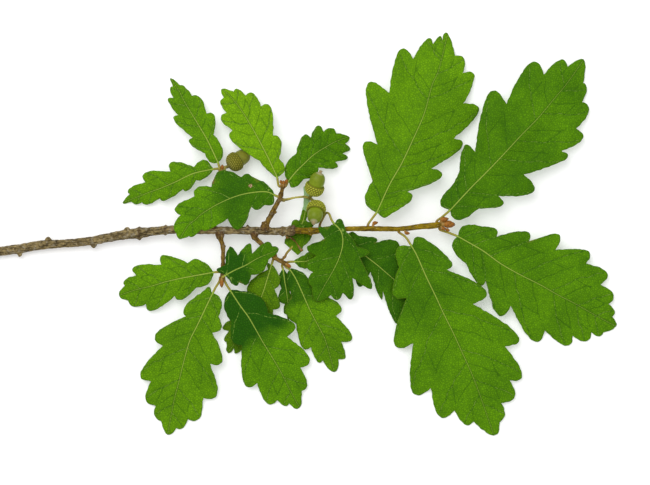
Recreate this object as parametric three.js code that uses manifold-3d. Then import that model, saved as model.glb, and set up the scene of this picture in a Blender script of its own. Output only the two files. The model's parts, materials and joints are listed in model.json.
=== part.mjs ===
// A fallen oak twig, lying on a surface: old wood, this year's leading shoot, four side twigs,
// twenty lobed leaves, three green acorns in their cups, and the winter buds.
//
// Units are millimetres and +Z is up. The lists below are plan positions measured from the
// growth ring where the old wood ends and the leading shoot begins; the finished group is
// moved so that its origin is the bottom centre of its bounding box.

import * as THREE from "three";
import { mergeVertices } from "three/addons/utils/BufferGeometryUtils.js";
import Module from "manifold-3d";

const wasm = await Module();
wasm.setup();

// ---------------------------------------------------------------------------------------
// Driving dimensions
// ---------------------------------------------------------------------------------------

const BLADE = 0.5; // thickness of a leaf blade
const PETIOLE_R = 0.62; // half width of a leaf stalk
const LOBE_STEPS = 6; // margin points round one lobe; the middle one is its tip
const LOBE_ROUNDNESS = 0.85; // 1 is a sine arch; smaller is fuller
const CUP_BEND = 0.01; // a leaf's cup of 1 lifts its margin by this, times the squared distance
const RIPPLE_TURNS = 9; // angle, in radians, that the margin's wave runs through along a blade
const RIPPLE_SHIFT = 1.3; // how far the left margin's wave runs ahead of the right one's
const RIPPLE_REACH = 12; // distance from the midrib where the wave is at its full height
const STEM_SIDES = 8;
const THIN_SIDES = 6;
const ACORN_SIDES = 12;
const BUD_SIDES = 6;

const ACORN = {
  cupRadius: 5.2, // outside of the cup at its rim
  cupDepth: 6.6, // from the stalk's seat to the rim
  cupWall: 0.8,
  nutRadius: 4.0,
  nutLength: 11.2, // from the bottom of the cup to the tip's shoulder
  tipLength: 1.5, // the dry style at the end of the nut
  gap: 0.3, // between the nut and its cup
};

const COLOURS = {
  oldBark: 0x6d6150,
  twigBark: 0x74603f,
  shootBark: 0x8a7433,
  leaf: 0x4f8420,
  darkLeaf: 0x3a6e1e,
  cup: 0x80802f,
  nut: 0x6f8a18,
  stalk: 0x8f8430,
  bud: 0x8e4a22,
};

// ---------------------------------------------------------------------------------------
// Materials and placing
// ---------------------------------------------------------------------------------------

function bark(color) {
  return new THREE.MeshStandardMaterial({ color, roughness: 0.85, metalness: 0 });
}

function living(color) {
  return new THREE.MeshStandardMaterial({ color, roughness: 0.5, metalness: 0 });
}

function named(name, geometry, material) {
  const mesh = new THREE.Mesh(geometry, material);
  mesh.name = name;
  return mesh;
}

// A closed surface from corner positions and triangles.
function surface(positions, triangles) {
  const geometry = new THREE.BufferGeometry();
  geometry.setAttribute("position", new THREE.Float32BufferAttribute(positions, 3));
  geometry.setIndex(triangles);
  return geometry;
}

// ---------------------------------------------------------------------------------------
// Stems: a tube that tapers along a curve, through stations [x, y, z, radius]
// ---------------------------------------------------------------------------------------

function stemGeometry(stations, steps, sides) {
  const centre = new THREE.CatmullRomCurve3(stations.map(([x, y, z]) => new THREE.Vector3(x, y, z)));
  const girth = new THREE.CatmullRomCurve3(stations.map((s) => new THREE.Vector3(s[3], 0, 0)));
  const positions = [];
  const triangles = [];
  const up = new THREE.Vector3(0, 0, 1);
  for (let i = 0; i <= steps; i++) {
    const t = i / steps;
    const point = centre.getPoint(t);
    const radius = girth.getPoint(t).x;
    const side = new THREE.Vector3().crossVectors(up, centre.getTangent(t)).normalize();
    const top = new THREE.Vector3().crossVectors(centre.getTangent(t), side).normalize();
    for (let k = 0; k < sides; k++) {
      const angle = ((k + 0.5) / sides) * 2 * Math.PI;
      const corner = point
        .clone()
        .addScaledVector(side, radius * Math.sin(angle))
        .addScaledVector(top, -radius * Math.cos(angle));
      positions.push(corner.x, corner.y, Math.max(corner.z, 0));
    }
  }
  for (let i = 0; i < steps; i++) {
    for (let k = 0; k < sides; k++) {
      const a = i * sides + k;
      const b = i * sides + ((k + 1) % sides);
      triangles.push(a, b, a + sides, b, b + sides, a + sides);
    }
  }
  for (let k = 1; k < sides - 1; k++) {
    const end = steps * sides;
    triangles.push(0, k + 1, k, end, end + k, end + k + 1);
  }
  return surface(positions, triangles);
}

// ---------------------------------------------------------------------------------------
// Turned shapes: acorn cups, nuts and buds, standing on +Y and then turned to their axis
// ---------------------------------------------------------------------------------------

function turned(profile, sides, foot, axis) {
  const geometry = new THREE.LatheGeometry(
    profile.map(([r, y]) => new THREE.Vector2(r, y)),
    sides,
  );
  const turn = new THREE.Quaternion().setFromUnitVectors(
    new THREE.Vector3(0, 1, 0),
    new THREE.Vector3(...axis).normalize(),
  );
  geometry.applyQuaternion(turn);
  geometry.translate(...foot);
  return geometry;
}

function budProfile(radius, length) {
  return [
    [0, 0],
    [0.7 * radius, 0],
    [radius, 0.35 * length],
    [0.62 * radius, 0.72 * length],
    [0, length],
  ];
}

// The cup is a round bowl: its wall runs out from the seat, up to the rim and back down inside.
function cupProfile() {
  const { cupRadius, cupDepth, cupWall } = ACORN;
  return [
    [0, 0],
    [0.55 * cupRadius, 0.1 * cupDepth],
    [0.93 * cupRadius, 0.42 * cupDepth],
    [cupRadius, 0.74 * cupDepth],
    [0.93 * cupRadius, cupDepth],
    [0.93 * cupRadius - cupWall, cupDepth],
    [cupRadius - cupWall, 0.7 * cupDepth],
    [0.7 * cupRadius, 0.34 * cupDepth],
    [0, 0.28 * cupDepth],
  ];
}

function nutProfile() {
  const { cupDepth, nutRadius, nutLength, tipLength, gap } = ACORN;
  const foot = 0.28 * cupDepth + gap;
  return [
    [0, foot],
    [0.68 * nutRadius, foot + 0.1 * nutLength],
    [nutRadius, foot + 0.42 * nutLength],
    [0.9 * nutRadius, foot + 0.72 * nutLength],
    [0.45 * nutRadius, foot + 0.96 * nutLength],
    [0.2 * nutRadius, foot + nutLength],
    [0.16 * nutRadius, foot + nutLength + tipLength],
    [0, foot + nutLength + tipLength],
  ];
}

// ---------------------------------------------------------------------------------------
// Solids for joining: three.js geometry to manifold-3d and back
// ---------------------------------------------------------------------------------------

function solid(geometry) {
  const bare = new THREE.BufferGeometry();
  bare.setAttribute("position", geometry.getAttribute("position"));
  if (geometry.index) bare.setIndex(geometry.index);
  const merged = mergeVertices(bare, 1e-3);
  return new wasm.Manifold(
    new wasm.Mesh({
      numProp: 3,
      vertProperties: new Float32Array(merged.attributes.position.array),
      triVerts: new Uint32Array(merged.index.array),
    }),
  );
}

function joined(geometries) {
  const whole = geometries.map(solid).reduce((all, next) => all.add(next));
  const mesh = whole.getMesh();
  return surface(Array.from(mesh.vertProperties), Array.from(mesh.triVerts));
}

// ---------------------------------------------------------------------------------------
// Leaves
// ---------------------------------------------------------------------------------------

// The margin of one lobe, after its first notch: an arch over the line from notch to notch,
// sheared so that its middle lies at the tip.
function lobe(notch, tip, nextNotch) {
  const lean = tip.clone().sub(notch.clone().lerp(nextNotch, 0.5));
  const points = [];
  for (let i = 1; i <= LOBE_STEPS; i++) {
    const u = i / LOBE_STEPS;
    const height = i < LOBE_STEPS ? Math.sin(Math.PI * u) ** LOBE_ROUNDNESS : 0;
    points.push(notch.clone().lerp(nextNotch, u).addScaledVector(lean, height));
  }
  return points;
}

// One side's margin from the blade's foot to the notch before the apex. points holds lobe
// tips and notches in turn.
function sideMargin(foot, points) {
  const margin = [foot];
  for (let i = 0; i + 1 < points.length; i += 2) {
    const tip = new THREE.Vector2(...points[i]);
    const notch = new THREE.Vector2(...points[i + 1]);
    margin.push(...lobe(margin[margin.length - 1], tip, notch));
  }
  return margin;
}

// Where a plan point lies on the leaf: the midrib's height there, how far along the blade it
// is from foot to apex, and its distance to the left of the midrib.
function onMidrib(point, rib) {
  const best = { distance: Infinity };
  for (let i = 0; i + 1 < rib.length; i++) {
    const a = new THREE.Vector2(rib[i].x, rib[i].y);
    const step = new THREE.Vector2(rib[i + 1].x, rib[i + 1].y).sub(a);
    const reach = point.clone().sub(a);
    const t = THREE.MathUtils.clamp(reach.dot(step) / step.lengthSq(), 0, 1);
    const distance = reach.distanceTo(step.clone().multiplyScalar(t));
    if (distance < best.distance) {
      best.distance = distance;
      best.height = THREE.MathUtils.lerp(rib[i].z, rib[i + 1].z, t);
      best.along = (i + t) / (rib.length - 1);
      best.left = Math.sign(step.cross(reach)) * distance;
    }
  }
  return best;
}

// The blade's height over the surface: it follows the midrib, leans to one side by roll,
// bends up (cup above 0) or down across its width, and ripples towards its margin.
function bladeHeight(point, rib, leaf) {
  const { height, along, left, distance } = onMidrib(point, rib);
  const phase = leaf.phase + (left > 0 ? RIPPLE_SHIFT : 0);
  const reach = Math.min(distance, RIPPLE_REACH) / RIPPLE_REACH;
  const ripple = leaf.ripple * Math.sin(RIPPLE_TURNS * along + phase) * reach;
  const bend = leaf.cup * CUP_BEND * distance * distance;
  return height + leaf.roll * left + bend + ripple;
}

// A leaf is one plate: a narrow stalk, thick along its middle, that widens into the lobed
// blade. Each half is triangulated on its own, so that the midrib is an edge of the plate.
function leafGeometry(leaf) {
  const stalk = leaf.stalk.map((p) => new THREE.Vector3(...p));
  const rib = leaf.rib.map((p) => new THREE.Vector3(...p));
  const line = [...stalk, ...rib];
  const apex = new THREE.Vector2(rib[rib.length - 1].x, rib[rib.length - 1].y);
  const thicken = (i) => (PETIOLE_R - BLADE / 2) * Math.max(0, 1 - Math.max(0, i - stalk.length) / 3);

  const positions = [];
  const corners = []; // each corner is a top and a bottom vertex, in that order
  const corner = (x, y, top, bottom) => {
    const low = Math.max(bottom, 0);
    positions.push(x, y, Math.max(top, low + BLADE), x, y, low);
    corners.push(new THREE.Vector2(x, y));
    return corners.length - 1;
  };
  const spine = line.map((p, i) =>
    corner(p.x, p.y, p.z + BLADE / 2 + thicken(i), p.z - BLADE / 2 - thicken(i)),
  );

  // The stalk's edge, level with its middle, up to where the blade begins.
  const stalkEdge = (side) =>
    line.slice(0, stalk.length + 1).map((p, i) => {
      const next = line[i + 1];
      const last = line[Math.max(i - 1, 0)];
      const across = new THREE.Vector2(last.y - next.y, next.x - last.x).setLength(PETIOLE_R * side);
      return new THREE.Vector3(p.x + across.x, p.y + across.y, p.z);
    });

  const halves = [
    { side: 1, points: leaf.left },
    { side: -1, points: leaf.right },
  ].map(({ side, points }) => {
    const edge = stalkEdge(side);
    const foot = edge.pop();
    const margin = sideMargin(new THREE.Vector2(foot.x, foot.y), points);
    return { side, edge, margin };
  });

  // The apex is the last lobe: it rises from the left side's last notch and falls to the right's.
  const lastLeft = halves[0].margin[halves[0].margin.length - 1];
  const lastRight = halves[1].margin[halves[1].margin.length - 1];
  const crown = lobe(lastLeft, apex, lastRight);
  const middle = LOBE_STEPS / 2;
  halves[0].margin.push(...crown.slice(0, middle - 1));
  halves[1].margin.push(...crown.slice(middle, -1).reverse());

  const topFaces = [];
  const outline = [];
  for (const { side, edge, margin } of halves) {
    const rim = edge.map((p) => corner(p.x, p.y, p.z + BLADE / 2, p.z - BLADE / 2));
    for (const p of margin) {
      const z = bladeHeight(p, rib, leaf);
      rim.push(corner(p.x, p.y, z + BLADE / 2, z - BLADE / 2));
    }
    const loop = [...spine, ...rim.reverse()];
    const faces = THREE.ShapeUtils.triangulateShape(
      loop.map((c) => corners[c]),
      [],
    );
    for (const face of faces) {
      const [a, b, c] = face.map((i) => loop[i]);
      const area = corners[b].clone().sub(corners[a]).cross(corners[c].clone().sub(corners[a]));
      topFaces.push(area > 0 ? [a, b, c] : [a, c, b]);
    }
    outline.push(side > 0 ? rim : rim.slice().reverse());
  }

  // Round the whole outline: from the stalk's end up the right side to the apex, and back.
  const ring = [spine[0], ...outline[1], spine[spine.length - 1], ...outline[0]];
  const triangles = [];
  for (const [a, b, c] of topFaces) {
    triangles.push(2 * a, 2 * b, 2 * c, 2 * a + 1, 2 * c + 1, 2 * b + 1);
  }
  ring.forEach((a, i) => {
    const b = ring[(i + 1) % ring.length];
    triangles.push(2 * a, 2 * a + 1, 2 * b, 2 * b, 2 * a + 1, 2 * b + 1);
  });
  return surface(positions, triangles);
}

// ---------------------------------------------------------------------------------------
// The twig's plan. A stem is a list of [x, y, z, radius]. A leaf's stalk and rib are lists of
// [x, y, z] from the stem to the apex; left and right hold, from foot to apex, each lobe's
// tip and the notch after it, as [x, y]. roll lifts the left side, cup bends both sides up
// (or down, below 0), and ripple is the margin's wave in millimetres.
// ---------------------------------------------------------------------------------------

const STEMS = {
  main_branch: {
    steps: 26,
    sides: STEM_SIDES,
    color: COLOURS.oldBark,
    path: [
      [-172, -12, 2.4, 2.5], [-150, -9.9, 2.7, 2.45], [-139, -7.7, 3, 2.4], [-124, -6.7, 3.4, 2.15],
      [-110, -5.4, 4, 2.25], [-98, -3, 4.6, 2.4], [-88, -1.6, 5, 2.5], [-84, -1.1, 5.2, 3.2],
      [-80, -0.7, 5.4, 2.35], [-67, 0.8, 6.1, 2.2], [-50, 0.4, 7, 1.95], [-38, 0.25, 7.8, 1.9],
      [-23, 0.2, 8.5, 2.05], [-12, -0.1, 8.8, 1.85], [-5, 0, 9, 2.3], [-1.2, 0.1, 9, 2.1],
    ],
    spurs: [
      [[-148.7, -11.6, 2.8], [-0.1, -1, 0], 1.2, 2.4], [[-133.5, -5.6, 3.2], [0.1, 1, 0.2], 1.8, 2.6],
      [[-108.7, -6.4, 4], [0, -1, 0.1], 1.8, 3.1], [[-90.8, -0.6, 5], [0.1, 1, 0.1], 1.9, 2.8],
      [[-50.7, 1.2, 8], [0, 0.3, 1], 0.9, 1.6], [[-25.5, 1.3, 8.9], [-0.2, 1, 0.3], 1, 2.2],
    ],
  },
  leading_shoot: {
    steps: 18,
    sides: STEM_SIDES,
    color: COLOURS.shootBark,
    path: [
      [-0.7, 0.1, 9, 1.65], [5, 0, 9, 1.5], [8, -0.2, 9, 2.1], [11, 0.1, 9, 1.6], [18, 0.7, 8.9, 1.3],
      [26, 1.1, 8.8, 1.2], [35, 1.2, 8.7, 1.25], [43.5, 1.2, 8.6, 1.35], [50, 1.1, 8.5, 1.2],
      [57, 1.1, 8.4, 1.25], [67, 2.4, 8.3, 1.4], [73, 2.8, 8.3, 1.65], [78.6, 3.6, 8.4, 1.3],
    ],
    spurs: [[[8, -1.4, 8.8], [0.3, -1, 0], 0.8, 1.5]],
  },
  upper_twig: {
    steps: 12,
    sides: STEM_SIDES,
    color: COLOURS.twigBark,
    path: [
      [-16.4, 3.15, 8.8, 1.7], [-15.2, 5, 8.8, 1.4], [-13.6, 7.6, 8.8, 1.25], [-11.5, 11.6, 8.8, 1.2],
      [-9.9, 14.7, 8.8, 1.2], [-8.4, 17.6, 8.8, 1.05], [-7.3, 22, 8.9, 0.95], [-6.7, 24.2, 9, 1.1],
    ],
    spurs: [[[-12.2, 10.2, 8.8], [1, -0.1, 0], 0.9, 2.2], [[-8.6, 16.3, 9.3], [0.2, 0, 1], 0.9, 1.1]],
  },
  upper_left_twig: {
    steps: 12,
    sides: STEM_SIDES,
    color: COLOURS.twigBark,
    path: [
      [-45.3, 3.4, 7.6, 1.6], [-44, 8, 7.5, 1.2], [-42.5, 15, 7.4, 1.1], [-41, 23, 7.4, 1],
      [-40, 29, 7.5, 0.95], [-39.6, 32.2, 7.6, 1],
    ],
    spurs: [],
  },
  lower_left_twig: {
    steps: 10,
    sides: STEM_SIDES,
    color: COLOURS.twigBark,
    path: [
      [-40.6, -2.8, 7.3, 1.7], [-39.9, -5.2, 7.2, 1.25], [-39, -9.2, 7.1, 1.1], [-39, -13.3, 7, 1],
      [-39.1, -18, 6.8, 1], [-39.2, -22, 6.6, 1], [-39.5, -25.4, 6.5, 1.05],
    ],
    spurs: [[[-39, -8.2, 7.1], [1, 0, 0], 0.9, 1.5]],
  },
  lower_right_twig: {
    steps: 10,
    sides: STEM_SIDES,
    color: COLOURS.twigBark,
    path: [
      [-22.2, -2.9, 8, 1.5], [-21.3, -4.2, 7.7, 1.25], [-19.3, -6, 7.4, 1.1], [-16, -9.3, 7, 1.05],
      [-12, -13.9, 6.7, 1], [-9.4, -15.6, 6.5, 1.1], [-6.3, -17, 6.3, 1], [-5.2, -17.6, 6.3, 0.95],
    ],
    spurs: [[[-8, -16, 6.5], [0.75, 0.65, 0], 0.8, 2.6], [[-10.5, -14, 6.9], [-0.2, 1, 0], 0.7, 2.4]],
  },
  acorn_stalk_1: {
    steps: 3,
    sides: THIN_SIDES,
    color: COLOURS.stalk,
    path: [[-38.2, 33.1, 7.8, 0.6], [-37.5, 33.8, 7.8, 0.55], [-36.8, 34.3, 7.7, 0.65]],
    spurs: [],
  },
  acorn_stalk_2: {
    steps: 10,
    sides: THIN_SIDES,
    color: COLOURS.stalk,
    path: [
      [-6.9, 16.6, 8.6, 0.8], [-4.7, 16.8, 8.4, 0.6], [-2.1, 17.5, 8.2, 0.5], [1.5, 18.1, 7.6, 0.5],
      [5.1, 18.3, 6.8, 0.55], [7.6, 17.4, 5.8, 0.7], [9.4, 16.1, 5, 0.7],
    ],
    spurs: [],
  },
  bare_stalk: {
    steps: 5,
    sides: THIN_SIDES,
    color: COLOURS.stalk,
    path: [
      [-4.7, -2.9, 8.2, 0.5], [-1.1, -4.5, 7.6, 0.4], [0.5, -6.9, 7.2, 0.4], [2.3, -9.2, 6.9, 0.45],
      [3.3, -10.7, 6.8, 0.75],
    ],
    spurs: [],
  },
};

// Each bud: its foot, the way it points, its radius and its length.
const BUDS = {
  terminal_bud_1: [[79.3, 3.8, 8.8], [1, -0.08, 0], 1.8, 6.1],
  terminal_bud_2: [[77.4, 6, 10], [0.98, 0.1, 0], 1.15, 4.5],
  terminal_bud_3: [[77.9, 1.6, 9.9], [0.95, -0.3, 0], 0.85, 2.6],
  terminal_bud_4: [[80.4, 0.9, 8.3], [0.9, -0.35, 0], 0.75, 2.2],
  shoot_bud_upper: [[41.2, 4, 9.2], [1, 0.2, 0.05], 0.9, 2.9],
  shoot_bud_lower: [[58.4, -0.9, 8.8], [1, -0.2, 0], 0.85, 2.8],
  upper_twig_bud_1: [[-7.5, 25.4, 9.3], [-0.35, 0.9, 0.1], 0.8, 2],
  upper_twig_bud_2: [[-6.4, 24.9, 10.8], [-0.05, 1, 0.1], 0.75, 2.1],
  upper_twig_bud_3: [[-5.5, 25.4, 9], [0.4, 0.9, 0], 0.85, 2.5],
  upper_left_twig_bud: [[-39.5, 33, 7.8], [0.1, 1, 0.1], 0.95, 2.6],
  lower_left_twig_bud: [[-39.6, -26.4, 6.9], [-0.05, -1, 0], 1, 4],
  lower_right_twig_bud: [[-4.5, -18.1, 6.6], [0.75, -0.6, 0.05], 0.9, 2.5],
};

// Each acorn: the seat of its cup and the way it points.
const ACORNS = {
  1: [[-36, 34.8, 7.6], [0.76, 0.52, -0.3]],
  2: [[8.6, 19.2, 8.6], [0.33, 0.86, 0.38]],
  3: [[11.6, 15, 5.9], [-0.14, -0.76, 0.63]],
};

const LEAVES = {
  // The leading shoot's leaves, from its foot to its end.
  shoot_leaf_1: {
    stalk: [[12.9, 3.3, 8.2], [14.4, 6.5, 4.6], [16.2, 9.6, 4.6], [17.9, 9.1, 7.4], [19, 6.2, 10.6]],
    rib: [[20.4, 3.9, 12.4], [23.2, 1.2, 12.6], [24.8, -2, 12.3], [25.2, -6, 11.6], [24.6, -10, 10.8],
      [23, -15, 9.8], [21.1, -19.2, 8.8], [18.1, -24.7, 7.9], [15.3, -29.5, 7], [11, -37.8, 5.6]],
    left: [[24.3, 6.3], [26.8, -0.2], [30.4, -3.9], [32.6, -8.2], [39.6, -11.4], [34.2, -14.5],
      [41, -30.6], [30.5, -25.3], [30.5, -36.3], [25.3, -33.4], [22.3, -37.3], [19, -34.3]],
    right: [[18.9, 2.8], [17.2, 0.9], [11.8, 1.8], [16, -5], [6.2, -8.6], [10.8, -13.4],
      [5.6, -18], [9.3, -22.2], [6.6, -26], [8.7, -30.1]],
    roll: 0, cup: -0.25, ripple: 0.3, phase: 0,
  },
  shoot_leaf_2: {
    stalk: [[24.2, -1.8, 7.2]],
    rib: [[26.4, -4.3, 6.4], [32, -9, 5.8], [38.7, -14.4, 5.2], [44.1, -18.6, 4.6], [52.6, -25.9, 3.6],
      [64, -35.5, 2.4], [76, -46, 1]],
    left: [[30, -0.6], [34, -2.6], [43, -3.9], [42.3, -6.8], [53, -4.9], [56, -12],
      [63, -13], [61, -21], [72, -27], [69, -33]],
    right: [[25, -13], [30.5, -17], [34, -30], [40.3, -22], [45.3, -36.2], [46.8, -32.5],
      [54, -49.8], [60, -45], [66, -50], [69, -46]],
    roll: 0.02, cup: -0.25, ripple: 0.3, phase: 1,
  },
  shoot_leaf_3: {
    stalk: [[38.8, 3.6, 8.6], [40.9, 6.6, 9.3]],
    rib: [[43.3, 9.8, 9.8], [50.2, 24.8, 10.5], [56.6, 36, 10.2], [62.4, 48.2, 9.4], [68.8, 62.8, 8],
      [73.2, 78.4, 5.6], [77, 87.2, 3.6], [81.9, 106.6, 0]],
    left: [[37, 16.7], [41.6, 27.5], [36, 45.5], [43.7, 46.4], [37.9, 77.5], [50, 74],
      [55.5, 97], [63.2, 92.8], [70.6, 103.6], [74.1, 100.8], [77.5, 105.2], [78.8, 103]],
    right: [[47.3, 6.9], [49.5, 8.2], [61.5, 16.3], [60, 21], [77.8, 28.5], [72.9, 33.6],
      [89.2, 45], [84.8, 49.6], [98.5, 64.5], [90.2, 68.6], [96.2, 83], [89.9, 85.1],
      [90.8, 92.8], [85.8, 94.6]],
    roll: 0.02, cup: -0.5, ripple: 0.9, phase: 0.4,
  },
  shoot_leaf_4: {
    stalk: [[55.3, -0.7, 8], [58.9, -3.4, 8.3]],
    rib: [[61.8, -7.8, 8.8], [64.8, -13.2, 9.2], [69.8, -24.5, 9.2], [74.9, -35, 8.8], [79.3, -44.5, 8.2],
      [84.4, -54.7, 7.4], [88.4, -63.4, 6.4], [93.8, -75, 4.6], [98.2, -85.9, 2.9], [106.9, -110.4, 0]],
    left: [[65, -3], [70.8, -5.4], [82.8, -15.8], [81.1, -20.9], [101.5, -31.5], [94.9, -39],
      [119, -55.5], [112.5, -62.1], [122, -77], [115.3, -80.5], [118, -89.5], [110.7, -92.8],
      [112.6, -98.6], [109.7, -103.4]],
    right: [[54, -9.5], [55.3, -19.5], [52, -33.5], [59.3, -36.1], [52.8, -60], [62.9, -60.5],
      [62.5, -86], [72.8, -84.6], [77.2, -99.8], [85.7, -96.8], [91, -104.3], [95.7, -103]],
    roll: 0.06, cup: -0.3, ripple: 0.6, phase: 2,
  },
  shoot_leaf_5: {
    stalk: [[75.6, 5.3, 8.4], [78.8, 7.8, 8.9]],
    rib: [[82.3, 10.8, 9.2], [93.9, 23.3, 10.2], [100.4, 29.8, 10.3], [109.8, 39.5, 9.8], [120.4, 50.9, 8.6],
      [129.8, 60.4, 6.8], [139.2, 71.5, 4.4], [146.2, 79.8, 2.4], [155.3, 92.5, 0]],
    left: [[77.4, 15.8], [83.4, 24], [86.9, 30.6], [87.5, 35.5], [90.7, 45.8], [95.8, 42.2],
      [103.3, 73.4], [112.9, 68.2], [126, 90.3], [133.8, 84.2], [142.3, 92.4], [146.7, 88.5]],
    right: [[87.5, 5.8], [98, 12], [110.3, 13.5], [108.3, 18.6], [127, 20.8], [122, 30.1],
      [144, 38], [142.4, 42.8], [154.2, 49.2], [150.8, 55.2], [158, 64.5], [154.1, 69.5],
      [157, 76.5], [154.8, 80.1]],
    roll: -0.02, cup: -0.35, ripple: 0.7, phase: 3,
  },
  shoot_leaf_6: {
    stalk: [[77.4, 0.6, 7.4], [81.5, -0.8, 7.6]],
    rib: [[86.6, -2.8, 8.2], [99.8, -10.4, 8.8], [109.2, -17.2, 8.8], [119.3, -23, 8.2], [131.3, -29, 6.8],
      [140.7, -34.3, 5.2], [149.6, -38.8, 3.6], [159.6, -44.4, 1.8], [172.8, -51.6, 0]],
    left: [[90.5, 3], [99.8, 2.3], [107, 1.2], [107.5, -3], [123.3, -0.2], [123.9, -6.5],
      [140.3, -1.6], [139.4, -10.3], [156.5, -10.5], [156.1, -17.6], [167.3, -22.3], [164.2, -28.8],
      [171.2, -34], [168.5, -39.3], [171.8, -42.8], [170.7, -46]],
    right: [[84.2, -9.5], [91.5, -18.2], [98, -28.6], [102, -26.8], [108.3, -45], [115.5, -40.5],
      [127.5, -59], [134.4, -53.7], [145.5, -61.9], [149.6, -56.6], [156.3, -59.8], [159.6, -54.9],
      [163.7, -56.8], [165.9, -54.5]],
    roll: 0.08, cup: -0.3, ripple: 0.6, phase: 4,
  },

  // The upper twig's leaves; the first lies back over the main branch.
  upper_twig_leaf_1: {
    stalk: [[-9.9, 18.5, 9.2]],
    rib: [[-11.6, 19.2, 9.8], [-14.7, 20.7, 10.5], [-20.3, 20.8, 11], [-29.8, 19.1, 11.3], [-40.2, 15, 11.2],
      [-49.7, 9.4, 10.8], [-53.3, 6.2, 10.5], [-57.7, 2.6, 10], [-62, -4.4, 9.2]],
    left: [[-12, 14.2], [-16.7, 13.8], [-20.5, 11.2], [-23.7, 13], [-29.8, 0.8], [-36.2, 6.4],
      [-46, 0.8], [-50.3, 0.6], [-54.6, -2.9], [-57.2, -2.7]],
    right: [[-16.3, 25.8], [-20.9, 25.9], [-25.3, 30.4], [-29, 28.7], [-39.8, 32.2], [-45, 23.7],
      [-52.8, 23], [-54.1, 18.3], [-64, 13], [-61.5, 8.2], [-65.2, 3.2], [-63.9, -1.2]],
    roll: 0.01, cup: -0.1, ripple: 0.3, phase: 1,
  },
  upper_twig_leaf_2: {
    stalk: [[-9.1, 24.2, 8.4]],
    rib: [[-9.9, 28.7, 9.2], [-14.7, 39.1, 10], [-20, 49.3, 9.6], [-25.8, 59.5, 7.8], [-29.2, 64.8, 6],
      [-33.6, 70.6, 3.2], [-39.9, 76.8, 0]],
    left: [[-15.3, 32.6], [-19.5, 37.4], [-33.8, 47.8], [-33.8, 53.9], [-40.4, 59.8], [-37.4, 63.7],
      [-40.6, 68.9], [-38.9, 72.1]],
    right: [[-5.7, 33.2], [-8.9, 38.6], [-7.6, 48], [-12, 51.2], [-13.2, 66], [-18.6, 66.9],
      [-22.9, 74], [-27, 72.8], [-31.3, 76.6], [-33.7, 75.1]],
    roll: -0.03, cup: -0.4, ripple: 0.6, phase: 2,
  },
  upper_twig_leaf_3: {
    stalk: [[-5.1, 24.4, 7.4]],
    rib: [[-4.2, 26.4, 7.6], [-0.1, 31.4, 7.8], [4.7, 36.2, 7.8], [10, 41.1, 7.2], [18.3, 46.4, 5],
      [22.6, 48.6, 3.2], [28.7, 50.9, 0.8]],
    left: [[-5.6, 34.5], [0.1, 41.5], [3.6, 50.8], [7.9, 50.2], [11.5, 56.5], [14.9, 53.4],
      [19.3, 55.4], [21.9, 52.5]],
    right: [[-0.9, 23.2], [4.2, 27.7], [11, 29.8], [12, 33.8], [21.8, 33.8], [21.2, 37.1],
      [27.7, 38.9], [25.3, 41.8], [29.2, 44.4], [26.5, 46.9]],
    roll: 0.06, cup: -0.5, ripple: 0.4, phase: 3,
  },

  // The upper left twig's leaves, beside its acorn.
  upper_left_twig_leaf_1: {
    stalk: [[-41.3, 33.3, 6.8]],
    rib: [[-44.6, 33.1, 6.8], [-53.2, 31.3, 7], [-58.3, 29.4, 6.6], [-63.8, 26.7, 5.8], [-71.3, 23.5, 4.6],
      [-78.7, 20.9, 3.2], [-85.6, 18.3, 1.6], [-93.5, 15.3, 0]],
    left: [[-48.9, 27.9], [-53.4, 27.4], [-57.6, 21.8], [-60.6, 22.3], [-69.5, 16.6], [-73.1, 17.4],
      [-79.8, 14.3], [-83, 15.6], [-86.2, 14.3], [-88.9, 15.8]],
    right: [[-49, 38.1], [-54.8, 34.5], [-66.3, 37], [-67.3, 31.8], [-80.8, 31.6], [-81, 26.3],
      [-90, 22.8], [-89.7, 19.7]],
    roll: -0.02, cup: -0.4, ripple: 0.5, phase: 4,
  },
  upper_left_twig_leaf_2: {
    stalk: [[-41, 34.4, 8.3]],
    rib: [[-41.6, 36.6, 8.5], [-46.7, 47.5, 8.7], [-50.4, 54, 8.2], [-57.3, 65.2, 5.6], [-60.3, 70.3, 4],
      [-62.9, 75.4, 2.2], [-67.8, 82.6, 0]],
    left: [[-46, 36.9], [-48.5, 41.5], [-56.6, 46.6], [-55.3, 49.9], [-65.2, 59], [-63.4, 62.1],
      [-68.7, 70], [-66.2, 71.9], [-68, 76.6], [-66.5, 77.9]],
    right: [[-38.9, 43], [-44, 51.5], [-43.2, 61], [-47.8, 63.2], [-51.2, 71.5], [-56, 72.9],
      [-59.5, 77.5], [-62.7, 78.8]],
    roll: 0.03, cup: -0.5, ripple: 0.5, phase: 5,
  },

  // The lower left twig's leaves; the first lies over the twig that bears it.
  lower_left_twig_leaf_1: {
    stalk: [[-39, -24.6, 8.4]],
    rib: [[-37.6, -23.8, 9], [-32.6, -21, 9.4], [-26.6, -18.3, 9.4], [-20, -14.5, 9.2], [-8.9, -10, 8.8]],
    left: [[-42.3, -20.8], [-37.9, -18.3], [-35.5, -8.6], [-31.1, -13.1], [-25, -6.7], [-23.6, -12.2],
      [-16, -6.2], [-12.4, -8.3]],
    right: [[-32.5, -29.2], [-29.9, -26.4], [-26, -28.8], [-23.6, -23.4], [-17.8, -22], [-14.3, -15.2]],
    roll: 0.02, cup: -0.3, ripple: 0.3, phase: 0,
  },
  lower_left_twig_leaf_2: {
    stalk: [[-41.2, -22, 6.2]],
    rib: [[-44.2, -22.2, 6.3], [-56.4, -24.4, 6.6], [-63.1, -25.7, 6.2], [-69.9, -27.3, 5.4], [-77.2, -29.5, 4.2],
      [-86, -31.6, 2.4], [-95.8, -34.8, 0]],
    left: [[-47.3, -28.6], [-53.7, -30.5], [-61, -37], [-65, -35], [-77, -43], [-80.7, -39.3],
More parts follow.
